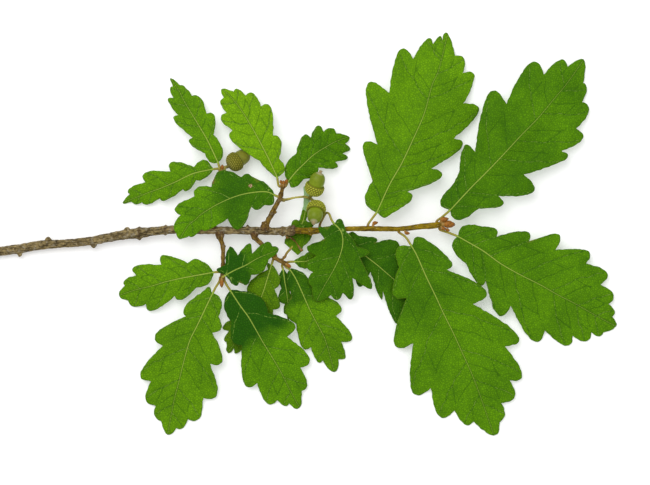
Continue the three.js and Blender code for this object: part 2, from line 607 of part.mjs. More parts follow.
      [-87.8, -40.8], [-90.3, -37.7]],
    right: [[-51.5, -15.4], [-57.9, -17.2], [-71, -13], [-72.2, -18.2], [-86.5, -18.8], [-86, -23.9],
      [-92.3, -26.4], [-92.4, -29.6]],
    roll: -0.02, cup: -0.5, ripple: 0.5, phase: 1,
  },
  lower_left_twig_leaf_3: {
    stalk: [[-41.1, -27.2, 5.5], [-42.9, -30.1, 5.8]],
    rib: [[-44.5, -33.2, 6.2], [-52.4, -49.8, 7], [-56.4, -57.8, 7], [-58.4, -63.9, 6.6], [-61.1, -73.9, 5.6],
      [-63.1, -82, 4.4], [-65.8, -92.1, 2.6], [-69.3, -110.2, 0]],
    left: [[-39.9, -38], [-41.3, -46.4], [-40, -52.3], [-44.7, -54.6], [-39.3, -69], [-45.9, -71.6],
      [-42.3, -87.5], [-50, -90.1], [-52, -101], [-58.3, -101.5], [-61, -106.3], [-64.6, -106.3]],
    right: [[-46.8, -29.9], [-49.5, -32.3], [-59, -39.8], [-59.1, -45.7], [-75, -55], [-71.5, -61.5],
      [-83.5, -76], [-77.8, -80.9], [-81.3, -90.5], [-75.6, -94.4], [-76.4, -99.5], [-72.7, -102.5]],
    roll: 0.01, cup: -0.5, ripple: 0.7, phase: 2,
  },
  lower_left_twig_leaf_4: {
    stalk: [[-38.3, -26.7, 5.4], [-37, -29.2, 5.8]],
    rib: [[-35, -32.1, 6.4], [-30.2, -39.4, 7], [-25.4, -46, 7.3], [-21.2, -53.2, 7.3], [-17.5, -59.8, 6.9],
      [-12.7, -67.7, 6], [-7.9, -76.1, 4.4], [-4.3, -83.4, 2.8], [2, -95.6, 0]],
    left: [[-19.8, -34.8], [-14.8, -43.9], [-0.8, -49.8], [-4.5, -56.7], [7.3, -68], [2.5, -73.7],
      [6.3, -82.5], [3.1, -86.4]],
    right: [[-38.6, -39.5], [-34.7, -48.7], [-34.2, -59], [-29, -61.3], [-28, -81.5], [-20.9, -82],
      [-15.8, -92.8], [-10, -91.2], [-6.3, -94.6], [-3.6, -93.3]],
    roll: 0.03, cup: -0.25, ripple: 0.5, phase: 3,
  },

  // The lower right twig's leaves, most of them tucked under their neighbours.
  lower_right_twig_leaf_1: {
    stalk: [[-12.3, -15.8, 5.4]],
    rib: [[-13, -18.2, 5], [-15.1, -24.9, 4.4], [-18.7, -35.7, 3.2], [-27, -52, 1.6], [-37, -65.9, 0]],
    left: [[-8.3, -26], [-11.5, -31.5], [-8.6, -40], [-12.4, -42.4], [-13, -54], [-20, -52],
      [-30.5, -65.2], [-33.4, -63.6]],
    right: [[-15.3, -17.7], [-15, -20.5], [-25.5, -28.5], [-24, -36], [-34.5, -43], [-32.5, -46.5],
      [-39.6, -51.6], [-36.5, -54.1], [-38.6, -58], [-37.3, -60.2]],
    roll: 0.04, cup: -0.1, ripple: 0.2, phase: 4,
  },
  lower_right_twig_leaf_2: {
    stalk: [[-7.4, -18.8, 4.6]],
    rib: [[-6.8, -20.7, 4.2], [-6, -27, 3.4], [-5, -33, 2.6], [-4.2, -40, 1.8], [-3.8, -48, 0.6]],
    left: [[-3, -27], [-3.5, -33], [0, -40], [-1.5, -43.5]],
    right: [[-9.2, -25.5], [-7.9, -31], [-9.4, -37], [-5.8, -39], [-6.8, -43.5], [-5.2, -45]],
    roll: 0, cup: 0, ripple: 0.1, phase: 0,
  },
  lower_right_twig_leaf_3: {
    stalk: [[-5.2, -19.4, 5]],
    rib: [[-3.2, -20.6, 5.2], [-0.1, -25.5, 5.2], [3, -32.1, 4.9], [7.8, -43, 3.9], [13.5, -53.8, 2.8],
      [16.2, -59.8, 2], [20.8, -76.2, 0]],
    left: [[5, -23.5], [9.5, -32.5], [23.5, -39.5], [21.6, -45.7], [30.3, -57], [24.4, -59.8],
      [26.7, -67.5], [23.1, -69.3]],
    right: [[-4.6, -26.5], [-2, -36], [-5.7, -43.5], [0, -50], [3.2, -62.5], [8.1, -62.6],
      [11.3, -70.3], [14.4, -70.1]],
    roll: 0, cup: -0.1, ripple: 0.2, phase: 1,
  },
  lower_right_twig_leaf_4: {
    stalk: [[-3.5, -16.6, 5.2]],
    rib: [[-0.6, -16.5, 4.4], [3, -16.4, 3.8], [5.9, -16.2, 3.4], [10.2, -14.2, 2.8], [15, -13, 2.4]],
    left: [[2.2, -13.9], [4.4, -13.2], [7.4, -11], [10.6, -12]],
    right: [[4.4, -20.2], [8.5, -17.6]],
    roll: 0, cup: 0, ripple: 0.1, phase: 2,
  },
  lower_right_twig_leaf_5: {
    stalk: [[-5.8, -13.9, 6]],
    rib: [[-4.8, -11.8, 5.8], [-1.9, -8.3, 5.4], [0.5, -2.8, 4.8], [3, 3, 4.2], [4.6, 8, 3.8],
      [5.4, 16, 3.6], [4.6, 24, 3.6]],
    left: [[-6.2, -6.5], [-3.3, -0.5], [-1.8, 5.2], [1.6, 5.8], [3.9, 13.4], [4, 21]],
    right: [[1, -13.2], [4.1, -8.3], [8.6, -3], [6.5, 0.5], [9.8, 3.2], [5.6, 5.5], [7.3, 14.5], [6.4, 20.5]],
    roll: 0, cup: 0, ripple: 0.1, phase: 3,
  },
};

// ---------------------------------------------------------------------------------------
// The whole branch
// ---------------------------------------------------------------------------------------

function stem(name, { path, steps, sides, color, spurs }) {
  const tube = stemGeometry(path, steps, sides);
  const stubs = spurs.map(([foot, axis, radius, length]) =>
    turned(budProfile(radius, length), BUD_SIDES, foot, axis),
  );
  const geometry = stubs.length > 0 ? joined([tube, ...stubs]) : tube;
  return named(name, geometry, bark(color));
}

function leafMesh(name, leaf) {
  const color = leaf.rib[0][2] > 9 ? COLOURS.leaf : COLOURS.darkLeaf;
  return named(name, leafGeometry(leaf), living(color));
}

function budMesh(name, [foot, axis, radius, length]) {
  return named(name, turned(budProfile(radius, length), BUD_SIDES, foot, axis), living(COLOURS.bud));
}

function acorn(number, [seat, axis]) {
  const cup = turned(cupProfile(), ACORN_SIDES, seat, axis);
  const nut = turned(nutProfile(), ACORN_SIDES, seat, axis);
  return [
    named(`acorn_cup_${number}`, cup, bark(COLOURS.cup)),
    named(`acorn_nut_${number}`, nut, living(COLOURS.nut)),
  ];
}

function fallenBranch() {
  const branch = new THREE.Group();
  branch.add(...Object.entries(STEMS).map(([name, plan]) => stem(name, plan)));
  branch.add(...Object.entries(BUDS).map(([name, plan]) => budMesh(name, plan)));
  branch.add(...Object.entries(LEAVES).map(([name, plan]) => leafMesh(name, plan)));
  branch.add(...Object.entries(ACORNS).flatMap(([number, plan]) => acorn(number, plan)));
  return branch;
}

const branch = fallenBranch();
const box = new THREE.Box3().setFromObject(branch);
const centre = box.getCenter(new THREE.Vector3());
branch.position.set(-centre.x, -centre.y, -box.min.z);

const part = new THREE.Group();
part.add(branch);
export default part;
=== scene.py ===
# The looks of a fallen oak branch: leaves with raised tissue between sunken veins, rough old
# wood, smooth young shoots, scaly buds, and green acorns in their cups. Every piece is made
# over the CAD node that it stands for. Lengths are millimetres until a mesh is made.

import json
import math

import bpy
import numpy as np
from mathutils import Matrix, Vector, noise
from mathutils.bvhtree import BVHTree
from mathutils.geometry import delaunay_2d_cdt
from mathutils.kdtree import KDTree
from numpy.linalg import norm


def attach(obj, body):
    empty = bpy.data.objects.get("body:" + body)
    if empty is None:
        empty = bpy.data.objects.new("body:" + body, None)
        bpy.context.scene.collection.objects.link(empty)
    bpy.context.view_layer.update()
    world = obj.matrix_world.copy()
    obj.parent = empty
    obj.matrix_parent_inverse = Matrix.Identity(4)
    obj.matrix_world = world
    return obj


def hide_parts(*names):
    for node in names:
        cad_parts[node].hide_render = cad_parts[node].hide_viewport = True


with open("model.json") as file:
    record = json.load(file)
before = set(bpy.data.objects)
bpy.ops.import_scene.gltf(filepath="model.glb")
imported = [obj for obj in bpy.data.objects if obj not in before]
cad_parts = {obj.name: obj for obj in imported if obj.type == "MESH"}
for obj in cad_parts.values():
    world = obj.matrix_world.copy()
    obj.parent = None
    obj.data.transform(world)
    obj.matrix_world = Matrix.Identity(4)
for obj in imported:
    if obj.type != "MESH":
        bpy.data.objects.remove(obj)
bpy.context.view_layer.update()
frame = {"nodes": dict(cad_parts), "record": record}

MM = 0.001
SLOTS = {part["node"]: part["material_slot"] for part in frame["record"]["subparts"]}
SEED_SHIFT = (17.3, 5.1, 9.7)  # keeps the noise of one seed apart from the next
CURVE_STEPS = 8  # between two corners of a curve
END_SLICE = 0.3  # within which the corners of the leading shoot's low end lie
RING_OFFSET = (0.7, -0.1)  # of the growth ring from the middle of that end


# ---- Reading the CAD, and making meshes


def node_mesh(name):
    """Corner positions and triangles of a CAD node, with equal corners joined."""
    mesh = frame["nodes"][name].data
    mesh.calc_loop_triangles()
    points = np.array([vertex.co for vertex in mesh.vertices]) / MM
    triangles = np.array([triangle.vertices for triangle in mesh.loop_triangles])
    rounded = np.round(points, decimals=4)
    _, first, same = np.unique(rounded, axis=0, return_index=True, return_inverse=True)
    return points[first], same.reshape(-1)[triangles]


def mesh_of(name, points, faces):
    """A mesh from points in millimetres."""
    mesh = bpy.data.meshes.new(name)
    mesh.from_pydata((np.asarray(points) * MM).tolist(), [], faces)
    return mesh


def new_piece(name, points, faces, material, attributes):
    """A smooth object named after its node, which rides on the root and stands for the node."""
    mesh = mesh_of(name, points, faces)
    for key, values in attributes.items():
        add_attribute(mesh, key, values)
    adopt(name, mesh, material)


def add_attribute(mesh, key, values):
    """Gives each point of a mesh a number or a vector."""
    values = np.asarray(values, dtype=float)
    if values.ndim == 1:
        mesh.attributes.new(key, "FLOAT", "POINT").data.foreach_set("value", values)
    else:
        mesh.attributes.new(key, "FLOAT_VECTOR", "POINT").data.foreach_set("vector", values.ravel())


def placed(name, data):
    """A new object in the scene."""
    thing = bpy.data.objects.new(name, data)
    bpy.context.collection.objects.link(thing)
    return thing


def adopt(name, mesh, material):
    """Makes a mesh the piece that stands for a node."""
    mesh.materials.append(material)
    mesh.shade_smooth()
    piece = placed(f"{name}_look", mesh)
    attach(piece, "root")
    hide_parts(name)


def added(shape, other):
    """The points and faces of two shapes as one shape."""
    points, faces = shape
    more_points, more_faces = other
    moved = [tuple(i + len(points) for i in face) for face in more_faces]
    return np.vstack([points, more_points]), list(faces) + moved


def lifted(points, lowest=0.0):
    """The points, with none below a height."""
    points[:, 2] = np.maximum(points[:, 2], lowest)
    return points


def growth_ring():
    """Where in plan the leading shoot begins: from the corners at its low end."""
    points, _ = node_mesh("leading_shoot")
    low = points[:, 0].min()
    start = points[points[:, 0] < low + END_SLICE]
    return np.array([low, start[:, 1].mean()]) + RING_OFFSET


RING = growth_ring()


def resample(line, step):
    """Points at even distances along a polyline, its ends included."""
    line = np.asarray(line, dtype=float)
    lengths = norm(np.diff(line, axis=0), axis=1)
    travelled = np.concatenate([[0], np.cumsum(lengths)])
    count = max(2, round(travelled[-1] / step) + 1)
    stations = np.linspace(0, travelled[-1], count)
    return np.column_stack([np.interp(stations, travelled, line[:, i]) for i in range(line.shape[1])])


def curved(points, step):
    """A Catmull-Rom curve through points, resampled at even distances."""
    points = np.asarray(points, dtype=float)
    padded = np.vstack([2 * points[0] - points[1], points, 2 * points[-1] - points[-2]])
    fine = []
    for a, b, c, d in zip(padded, padded[1:], padded[2:], padded[3:]):
        for t in np.linspace(0, 1, CURVE_STEPS, endpoint=False):
            fine.append(0.5 * (2 * b + (c - a) * t + (2 * a - 5 * b + 4 * c - d) * t * t
                               + (3 * b - a - 3 * c + d) * t ** 3))
    fine.append(points[-1])
    return resample(fine, step)


def plan_tree(targets):
    """A search tree over the places of points in plan."""
    tree = KDTree(len(targets))
    for i, target in enumerate(targets):
        tree.insert((target[0], target[1], 0), i)
    tree.balance()
    return tree


def distances(points, targets):
    """Each point's distance in plan to the nearest of a dense set of targets."""
    tree = plan_tree(targets)
    return np.array([tree.find((point[0], point[1], 0))[2] for point in points])


def value_noise(points, scale, seed):
    """Smooth noise from -1 to 1 at each point, with features about scale across."""
    shift = Vector([seed * part for part in SEED_SHIFT])
    return np.array([noise.noise(Vector(point) / scale + shift) for point in points])


# ---- Where things grow from

# Of each kind of stem: its material's name, dark and light tone, age from 0 to 1, and roughness.
BARKS = {
    "old_bark": ("old_bark", (0.036, 0.025, 0.009), (0.25, 0.188, 0.08), 1.0, 1.0),
    "twig_bark": ("twig_bark", (0.036, 0.018, 0.004), (0.20, 0.122, 0.018), 0.6, 1.1),
    "shoot_bark": ("shoot_bark", (0.07, 0.042, 0.002), (0.265, 0.178, 0.005), 0.3, 0.5),
    "acorn_stalk": ("stalk_bark", (0.22, 0.19, 0.03), (0.40, 0.36, 0.08), 0.2, 0.3),
}
SURFACES = {}  # of the stems, made when first asked for
END_REACH = 1.2  # how much of a stem counts as its end
FOOT_DEPTH = 1.2  # how far a stem's foot runs into the stem that bears it
FOOT_STEP = 0.4
FOOT_SIDES = 12
USUAL_FLARE = 1.75  # width of a foot at its root, as a share of the stem's
FLARES = {"leading_shoot": 1.2, "acorn_stalk_1": 1.3, "acorn_stalk_2": 1.3, "bare_stalk": 1.2}


def stem_surface(without=""):
    """A search tree over the surfaces of all CAD stems, or of all but one."""
    if without not in SURFACES:
        points = []
        faces = []
        for name, kind in SLOTS.items():
            if kind in BARKS and name != without:
                corners, triangles = node_mesh(name)
                faces += (triangles + len(points)).tolist()
                points += corners.tolist()
        SURFACES[without] = BVHTree.FromPolygons(points, faces)
    return SURFACES[without]


def anchor(point, surface, depth):
    """A place inside the nearest stem, at a depth below its surface."""
    spot, normal, _, _ = surface.find_nearest(Vector(point))
    return np.array(spot - depth * normal)


def flared_foot(name, points):
    """A short tube that widens from a stem's foot into the stem that bears it."""
    centre, axis = main_axis(points)
    reach = (points - centre) @ axis
    surface = stem_surface(name)
    ends = [points[reach < reach.min() + END_REACH], points[reach > reach.max() - END_REACH]]
    foot = min(ends, key=lambda end: surface.find_nearest(Vector(end.mean(axis=0)))[3])
    middle = foot.mean(axis=0)
    radius = norm(foot - middle, axis=1).mean()
    inner = anchor(middle, surface, FOOT_DEPTH)
    line = curved([inner, 0.5 * (inner + middle), middle, 1.6 * middle - 0.6 * inner], FOOT_STEP)
    flare = FLARES.get(name, USUAL_FLARE)
    widths = radius * (1 + (flare - 1) * np.linspace(1, 0, len(line)) ** 1.5)
    return tube(line, widths, FOOT_SIDES)


def main_axis(points):
    """Middle and long direction of a stem, pointing towards +X or, if square to it, +Y."""
    centre = points.mean(axis=0)
    axis = np.linalg.svd(points - centre, full_matrices=False)[2][0]
    return centre, axis * np.sign(axis[0] + 0.3 * axis[1])


# ---- Leaves: what the CAD plate says

LOBE_STEPS = 6  # margin points of one lobe in the CAD, from notch to notch
PETIOLE_RADIUS = 0.62
NOTCH_WEIGHT = 0.2  # how much a notch on each side speaks for the apex between them


def rim_of(faces):
    """The corners round a sheet of triangles, in order and counterclockwise."""
    edges = {(int(a), int(b)) for face in faces for a, b in zip(face, np.roll(face, -1))}
    follow = {a: b for a, b in edges if (b, a) not in edges}
    loop = [min(follow)]
    while follow[loop[-1]] != loop[0]:
        loop.append(follow[loop[-1]])
    return loop


def top_sheet(points, triangles):
    """The plate's upper triangles. Each corner of the plate is a pair, one right over the other."""
    order = np.lexsort((points[:, 2], points[:, 1], points[:, 0]))
    upper = np.zeros(len(points), dtype=bool)
    upper[order[1::2]] = True
    return triangles[upper[triangles].all(axis=1)]


def from_stalk_end(points, loop):
    """The rim turned so that it starts at the stalk's end, half a stalk's width from each side."""
    ring = points[loop][:, :2]
    gap = norm(ring - np.roll(ring, -1, axis=0), axis=1)
    misfit = np.abs(gap - PETIOLE_RADIUS)
    start = int(np.argmin(misfit + np.roll(misfit, 1)))
    return loop[start:] + loop[:start]


def midrib(points, faces, loop):
    """The inner corners of the sheet, in order from the stalk's end."""
    left = set(faces.ravel().tolist()) - set(loop)
    line = [loop[0]]
    while left:
        nearest = min(left, key=lambda i: norm(points[i] - points[line[-1]]))
        line.append(nearest)
        left.remove(nearest)
    return line


def apex_of(points, loop, line):
    """Where on the rim the midrib ends: straight ahead of it, midway between two notches."""
    ahead = points[line[-1]] - points[line[-2]]
    ring = points[loop][:, :2]
    count = len(loop)

    def is_notch(i):
        a, b, c = ring[i - 1], ring[i], ring[(i + 1) % count]
        return (b[0] - a[0]) * (c[1] - b[1]) < (b[1] - a[1]) * (c[0] - b[0])

    half = LOBE_STEPS // 2

    def likeness(i):
        step = points[loop[i]] - points[line[-1]]
        straight = np.dot(step, ahead) / norm(step) / norm(ahead)
        return straight + NOTCH_WEIGHT * (is_notch(i - half) + is_notch(i + half))

    middles = [i for i in range(half + 2, count - half - 1) if (2 * i - count) % LOBE_STEPS == 0]
    return max(middles, key=likeness)


def leaf_plan(name):
    """Petiole, midrib and the two sides' margins of a leaf, on its upper surface."""
    points, triangles = node_mesh(name)
    faces = top_sheet(points, triangles)
    loop = from_stalk_end(points, rim_of(faces))
    line = midrib(points, faces, loop)
    apex = apex_of(points, loop, line)
    stalk_count = (apex - 1 - LOBE_STEPS // 2) % LOBE_STEPS
    right = points[loop[1 + stalk_count:apex + 1]]
    left = points[(loop + loop[:1])[apex:len(loop) - stalk_count]][::-1]
    spine = points[line + [loop[apex]]]
    return {
        "petiole": spine[:stalk_count + 1],
        "rib": spine[stalk_count:],
        "sides": [left, right],
        "surface": (points, faces),
    }


# ---- Leaves: the modelled blade

LEAF_THICKNESS = 0.22
LEAF_GRID = 1.0  # distance between the points of a blade
VEIN_STEP = 0.9
MARGIN_STEP = 0.55
EDGE_WANDER = 0.4  # how far the edge strays from an even curve
EDGE_WAVE = 2.2  # size of those bumps
VEIN_LEAD = 0.95  # how far below the nearest midrib point it starts, as a share of its reach
VEIN_END = 0.93  # share of the way to the edge at which it ends
VEIN_ARCH = 0.11  # how far it bows, as a share of its length
VEIN_WANDER = 1.1  # how far it strays from that bow
WANDER_SIZE = 5
BRANCHED_VEIN = 14  # a side vein with more points than this has a weak branch
BRANCH_START = 0.45  # share of the side vein before its branch
BRANCH_LENGTH = 0.62  # as a share of the side vein beyond it
BRANCH_TURN = 38  # degrees
NOTCH_VEIN = 8  # one to a notch has more points than this, or is left out
DENSE = 0.2  # between the points that stand for a vein
FAR = 9.0  # a distance at which no vein or edge is felt
PUFF = 0.55  # height of the tissue between the veins
PUFF_REACH = 1.6  # how far from a vein it takes to swell
WEAK_VEIN = 0.7  # the tissue over a weak vein is as high as this far from a strong one
FLAT_EDGE = 3.5  # width of the edge in which the swelling dies away
EVEN_EDGE = 2.0  # width of the edge in which other relief does
UNEVENNESS = 0.22
UNEVEN_SIZE = 7
RIDGE = 0.3  # how far side veins stand out below
RIDGE_WIDTH = 0.35
CLEARANCE = 0.02  # of a leaf's lowest points over the ground
SMOOTHING = 60  # rounds, for a blade's heights
# Place from the growth ring, radius, and depth of each blemish: a deep one is bleached inside.
INJURIES = {"upper_twig_leaf_1": ((-23.9, 24.1, 0.95, 1), (-44, 26.9, 1.4, 0.4))}
TURNED_OVER = {"lower_right_twig_leaf_5": 0.42}  # where along its blade a leaf turns over
STALK_SIDES = 10
STALK_DEPTH = 0.5  # how far a leaf stalk runs into its twig
STALK_STEP = 0.5


def smooth_margin(side):
    """One side's margin: round lobes that meet in narrow notches, with a slightly uneven edge."""
    margin = [side[:1]]
    for start in range(0, len(side) - 1, LOBE_STEPS):
        arch = side[start:start + LOBE_STEPS + 1]
        if len(arch) > 1:
            margin.append(curved(arch, MARGIN_STEP)[1:])
    margin = np.vstack(margin)
    for axis in (0, 1):
        margin[:, axis] += EDGE_WANDER * value_noise(margin * (1, 1, 0), EDGE_WAVE, 11 + axis)
    return margin


def side_vein(rib, tip, side):
    """A vein from the midrib to a lobe's tip, leaving the midrib at about 45 degrees."""
    gaps = norm(rib[:, :2] - tip[:2], axis=1)
    nearest = int(np.argmin(gaps))
    step = norm(rib[1, :2] - rib[0, :2])
    foot = max(1, nearest - round(VEIN_LEAD * gaps[nearest] / step))
    base = rib[foot]
    along = rib[min(foot + 3, len(rib) - 1)] - base
    reach = tip - base
    middle = base + 0.5 * reach + VEIN_ARCH * norm(reach) * side * across(along)
    count = max(4, round(norm(reach) / VEIN_STEP))
    times = np.linspace(0, VEIN_END, count)[:, None]
    curve = (1 - times) ** 2 * base + 2 * times * (1 - times) * middle + times ** 2 * tip
    for axis in (0, 1):
        wander = VEIN_WANDER * value_noise(curve * (1, 1, 0), WANDER_SIZE, 21 + axis)
        curve[:, axis] += wander * np.sin(math.pi * times[:, 0])
    return curve


def across(direction):
    """A unit vector in plan, to the left of a direction."""
    left = np.array([-direction[1], direction[0], 0.0])
    return left / norm(left)


def fine_vein(vein, side, seed):
    """A weak branch of a side vein, into the lower half of its lobe."""
    start = vein[int(len(vein) * BRANCH_START)]
    heading = vein[-1] - start
    turn = math.radians(-BRANCH_TURN * side + 6 * math.sin(seed))
    turned = np.array([
        heading[0] * math.cos(turn) - heading[1] * math.sin(turn),
        heading[0] * math.sin(turn) + heading[1] * math.cos(turn),
        heading[2],
    ])
    return resample([start, start + BRANCH_LENGTH * turned], VEIN_STEP)


def leaf_veins(plan, rib):
    """The curves of all side veins, and those of the weak veins."""
    veins = []
    weak = []
    for side, margin in zip((1, -1), plan["sides"]):
        tips = margin[LOBE_STEPS // 2::LOBE_STEPS][:-1]
        for number, tip in enumerate(tips):
            veins.append(side_vein(rib, tip, side))
            if len(veins[-1]) > BRANCHED_VEIN:
                weak.append(fine_vein(veins[-1], side, number))
        for notch in margin[LOBE_STEPS::LOBE_STEPS][:-1]:
            curve = side_vein(rib, notch, side)
            if len(curve) > NOTCH_VEIN:
                weak.append(curve[1:int(0.8 * len(curve))])
    return veins, weak


def inside(points, loop):
    """Whether each plan point lies within a closed loop."""
    x, y = points[:, 0], points[:, 1]
    within = np.zeros(len(points), dtype=bool)
    for (x0, y0), (x1, y1) in zip(loop[:, :2], np.roll(loop[:, :2], -1, axis=0)):
        if y0 == y1:
            continue
        crosses = (y0 > y) != (y1 > y)
        within ^= crosses & (x < (x1 - x0) * (y - y0) / (y1 - y0) + x0)
    return within


def hexagonal_grid(loop, spacing):
    """Plan points in offset rows, over the whole extent of a loop."""
    low, high = loop[:, :2].min(axis=0), loop[:, :2].max(axis=0)
    rows = np.arange(low[1], high[1], spacing * math.sqrt(0.75))
    columns = np.arange(low[0], high[0], spacing)
    grid = [(x + 0.5 * spacing * (i % 2), y) for i, y in enumerate(rows) for x in columns]
    return np.array(grid)


def blade_mesh(loop, lines):
    """A triangulated blade inside loop whose edges follow lines: plan points and faces."""
    fixed = [loop[:, :2]]
    edges = [(i, (i + 1) % len(loop)) for i in range(len(loop))]
    count = len(loop)
    for line in lines:
        kept = line[inside(line, loop)] if len(line) > 2 else line
        fixed.append(kept[:, :2])
        edges += [(count + i, count + i + 1) for i in range(len(kept) - 1)]
        count += len(kept)
    fixed = np.vstack(fixed)
    grid = hexagonal_grid(loop, LEAF_GRID)
    grid = grid[inside(grid, loop)]
    grid = grid[distances(grid, fixed) > 0.5 * LEAF_GRID]
    everything = [Vector(point) for point in np.vstack([fixed, grid]).tolist()]
    keep_inside, tolerance = 1, 1e-4
    plan, _, faces, _, _, _ = delaunay_2d_cdt(everything, edges, [], keep_inside, tolerance)
    return np.array([tuple(point) for point in plan]), [tuple(face) for face in faces]


def heights(plan, faces, surface, anchors):
    """The blade's height at each plan point: the CAD plate's, smoothed between the anchors."""
    points, triangles = surface
    plate = BVHTree.FromPolygons(points.tolist(), triangles.tolist())
    tree = plan_tree(anchors)
    level = np.empty(len(plan))
    held = np.zeros(len(plan), dtype=bool)
    high_above = 500
    same_place = 0.05
    for i, (x, y) in enumerate(plan):
        hit = plate.ray_cast(Vector((x, y, high_above)), Vector((0, 0, -1)))[0]
        _, index, gap = tree.find((x, y, 0))
        held[i] = gap < same_place or hit is None
        level[i] = anchors[index][2] if held[i] else hit.z
    return relaxed(level, held, faces, SMOOTHING)


def relaxed(values, held, faces, rounds):
    """values, averaged with their neighbours over and over except where held."""
    faces = np.array(faces)
    a = np.concatenate([faces[:, 0], faces[:, 1], faces[:, 2]])
    b = np.concatenate([faces[:, 1], faces[:, 2], faces[:, 0]])
    degree = np.bincount(a, minlength=len(values)) + np.bincount(b, minlength=len(values))
    for _ in range(rounds):
        total = np.bincount(a, values[b], len(values)) + np.bincount(b, values[a], len(values))
        values = np.where(held, values, total / degree)
    return values


def closed_sheet(outer, inner, faces):
    """Points and faces of a thin solid, from one set of faces over two layers of points."""
    count = len(outer)
    behind = [tuple(i + count for i in face[::-1]) for face in faces]
    edges = [edge for face in faces for edge in zip(face, face[1:] + face[:1])]
    known = set(edges)
    rim = [(b, a, a + count, b + count) for a, b in edges if (b, a) not in known]
    return np.vstack([outer, inner]), list(faces) + behind + rim


def ring_faces(rings, sides):
    """Faces of a closed tube whose points come ring by ring."""
    faces = []
    for i in range(rings - 1):
        for k in range(sides):
            a, b = i * sides + k, i * sides + (k + 1) % sides
            faces.append((a, b, b + sides, a + sides))
    faces.append(tuple(range(sides))[::-1])
    faces.append(tuple(range((rings - 1) * sides, rings * sides)))
    return faces


def tube(line, radii, sides):
    """Points and faces of a round, closed tube along a line."""
    line = np.asarray(line)
    points = []
    for i, (centre, radius) in enumerate(zip(line, radii)):
        ahead = line[min(i + 1, len(line) - 1)] - line[max(i - 1, 0)]
        ahead = ahead / norm(ahead)
        side = across(ahead) if abs(ahead[2]) < 0.99 else np.array([1.0, 0, 0])
        up = np.cross(ahead, side)
        for k in range(sides):
            angle = 2 * math.pi * k / sides
            points.append(centre + radius * (math.cos(angle) * side + math.sin(angle) * up))
    return np.array(points), ring_faces(len(line), sides)


def vein_gaps(flat, rib, veins, weak, loop):
    """Each plan point's distance to a side vein, a weak vein, the midrib and the edge."""
    def gap(lines):
        return distances(flat, np.vstack([resample(line, DENSE) for line in lines]))

    vein = gap(veins)
    edge = distances(flat, resample(np.vstack([loop, loop[:1]]), 0.25))
    weak_gap = gap(weak) if weak else vein + FAR
    return {"vein": vein, "weak_vein": weak_gap, "rib": gap([rib]), "edge": edge}


def blade_layers(flat, level, gaps, along, seed):
    """The upper and the lower points of a blade, swollen between its veins and ridged below."""
    nearest = np.minimum(np.minimum(gaps["rib"], gaps["vein"]), gaps["weak_vein"] + WEAK_VEIN)
    swelling = PUFF * (1 - np.exp(-nearest / PUFF_REACH)) * np.clip(gaps["edge"] / FLAT_EDGE, 0, 1)
    inward = np.clip(gaps["edge"] / EVEN_EDGE, 0, 1)
    uneven = UNEVENNESS * value_noise(np.column_stack([flat, level]), UNEVEN_SIZE, seed) * inward
    top = level + swelling + uneven
    ridge = RIDGE * np.exp(-(gaps["vein"] / RIDGE_WIDTH) ** 2) * (1 - along) * inward
    bottom = np.maximum(top - LEAF_THICKNESS - ridge, CLEARANCE)
    top = np.maximum(top, bottom + LEAF_THICKNESS)
    return [np.column_stack([flat, height]) for height in (top, bottom)]


def leaf_look(name, material, tone):
    """The whole leaf: its blade, and a stalk that runs on below it as the midrib."""
    plan = leaf_plan(name)
    rib = curved(plan["rib"], VEIN_STEP)
    left, right = (smooth_margin(side) for side in plan["sides"])
    loop = np.vstack([right, left[-2::-1]])
    veins, weak = leaf_veins(plan, rib)
    flat, faces = blade_mesh(loop, [rib[1:-1]] + [vein[1:] for vein in veins] + weak)
    level = heights(flat, faces, plan["surface"], np.vstack([loop, rib]))
    gaps = vein_gaps(flat, rib, veins, weak, loop)
    blade_along = along_rib(flat, rib)
    blade = closed_sheet(*blade_layers(flat, level, gaps, blade_along, len(name)), faces)

    *stalk, stalk_along = stalk_tube(plan, rib)
    points, polygons = added(blade, stalk)
    tail = np.zeros(len(stalk_along))
    attributes = {key: np.concatenate([gap, gap, tail + FAR]) for key, gap in gaps.items()}
    attributes["rib"] = np.concatenate([gaps["rib"], gaps["rib"], tail])
    attributes["along"] = np.concatenate([blade_along, blade_along, stalk_along])
    over = turned_over(name, blade_along)
    attributes["underside"] = np.concatenate([over, np.ones(len(flat)), tail])
    # tone: partly each leaf's own colour, partly painted shade where the blade bends away or lies
    # under another leaf
    attributes["tone"] = leaf_tone_and_shade(points, attributes["along"], tone)
    attributes["yellow"] = np.full(len(points), tone[3])
    attributes["injury"] = injured(name, points)
    new_piece(name, points, polygons, material, attributes)


def injured(name, points):
    """Above 0 in a leaf's dry blemishes, highest in their middle, and well below 0 elsewhere."""
    injury = np.full(len(points), -2.0)
    for x, y, radius, depth in INJURIES.get(name, ()):
        gap = norm(points[:, :2] - (RING[0] + x, RING[1] + y), axis=1)
        injury = np.maximum(injury, depth * (1.5 - gap / radius))
    return injury


def turned_over(name, along):
    """1 where a leaf's pale underside faces up, beyond a place along its blade."""
    nowhere = 2
    return np.clip((along - TURNED_OVER.get(name, nowhere)) / 0.05, 0, 1)


def leaf_tone_and_shade(points, along, tone):
    """Each point's tone, partly the leaf's own colour and partly painted shade: the foot's, then the
    tip's, with an uneven border between them.
    """
    foot, tip, border, _ = tone
    border_width = 0.16
    wander = 0.06 * value_noise(points, 9, 2)
    share = np.clip((along + wander - border) / border_width + 0.5, 0, 1)
    return foot + (tip - foot) * share * share * (3 - 2 * share)


def along_rib(flat, rib):
    """How far along the midrib each plan point lies, from 0 at the stalk to 1 at the apex."""
    tree = plan_tree(rib)
    return np.array([tree.find((x, y, 0))[1] for x, y in flat]) / (len(rib) - 1)


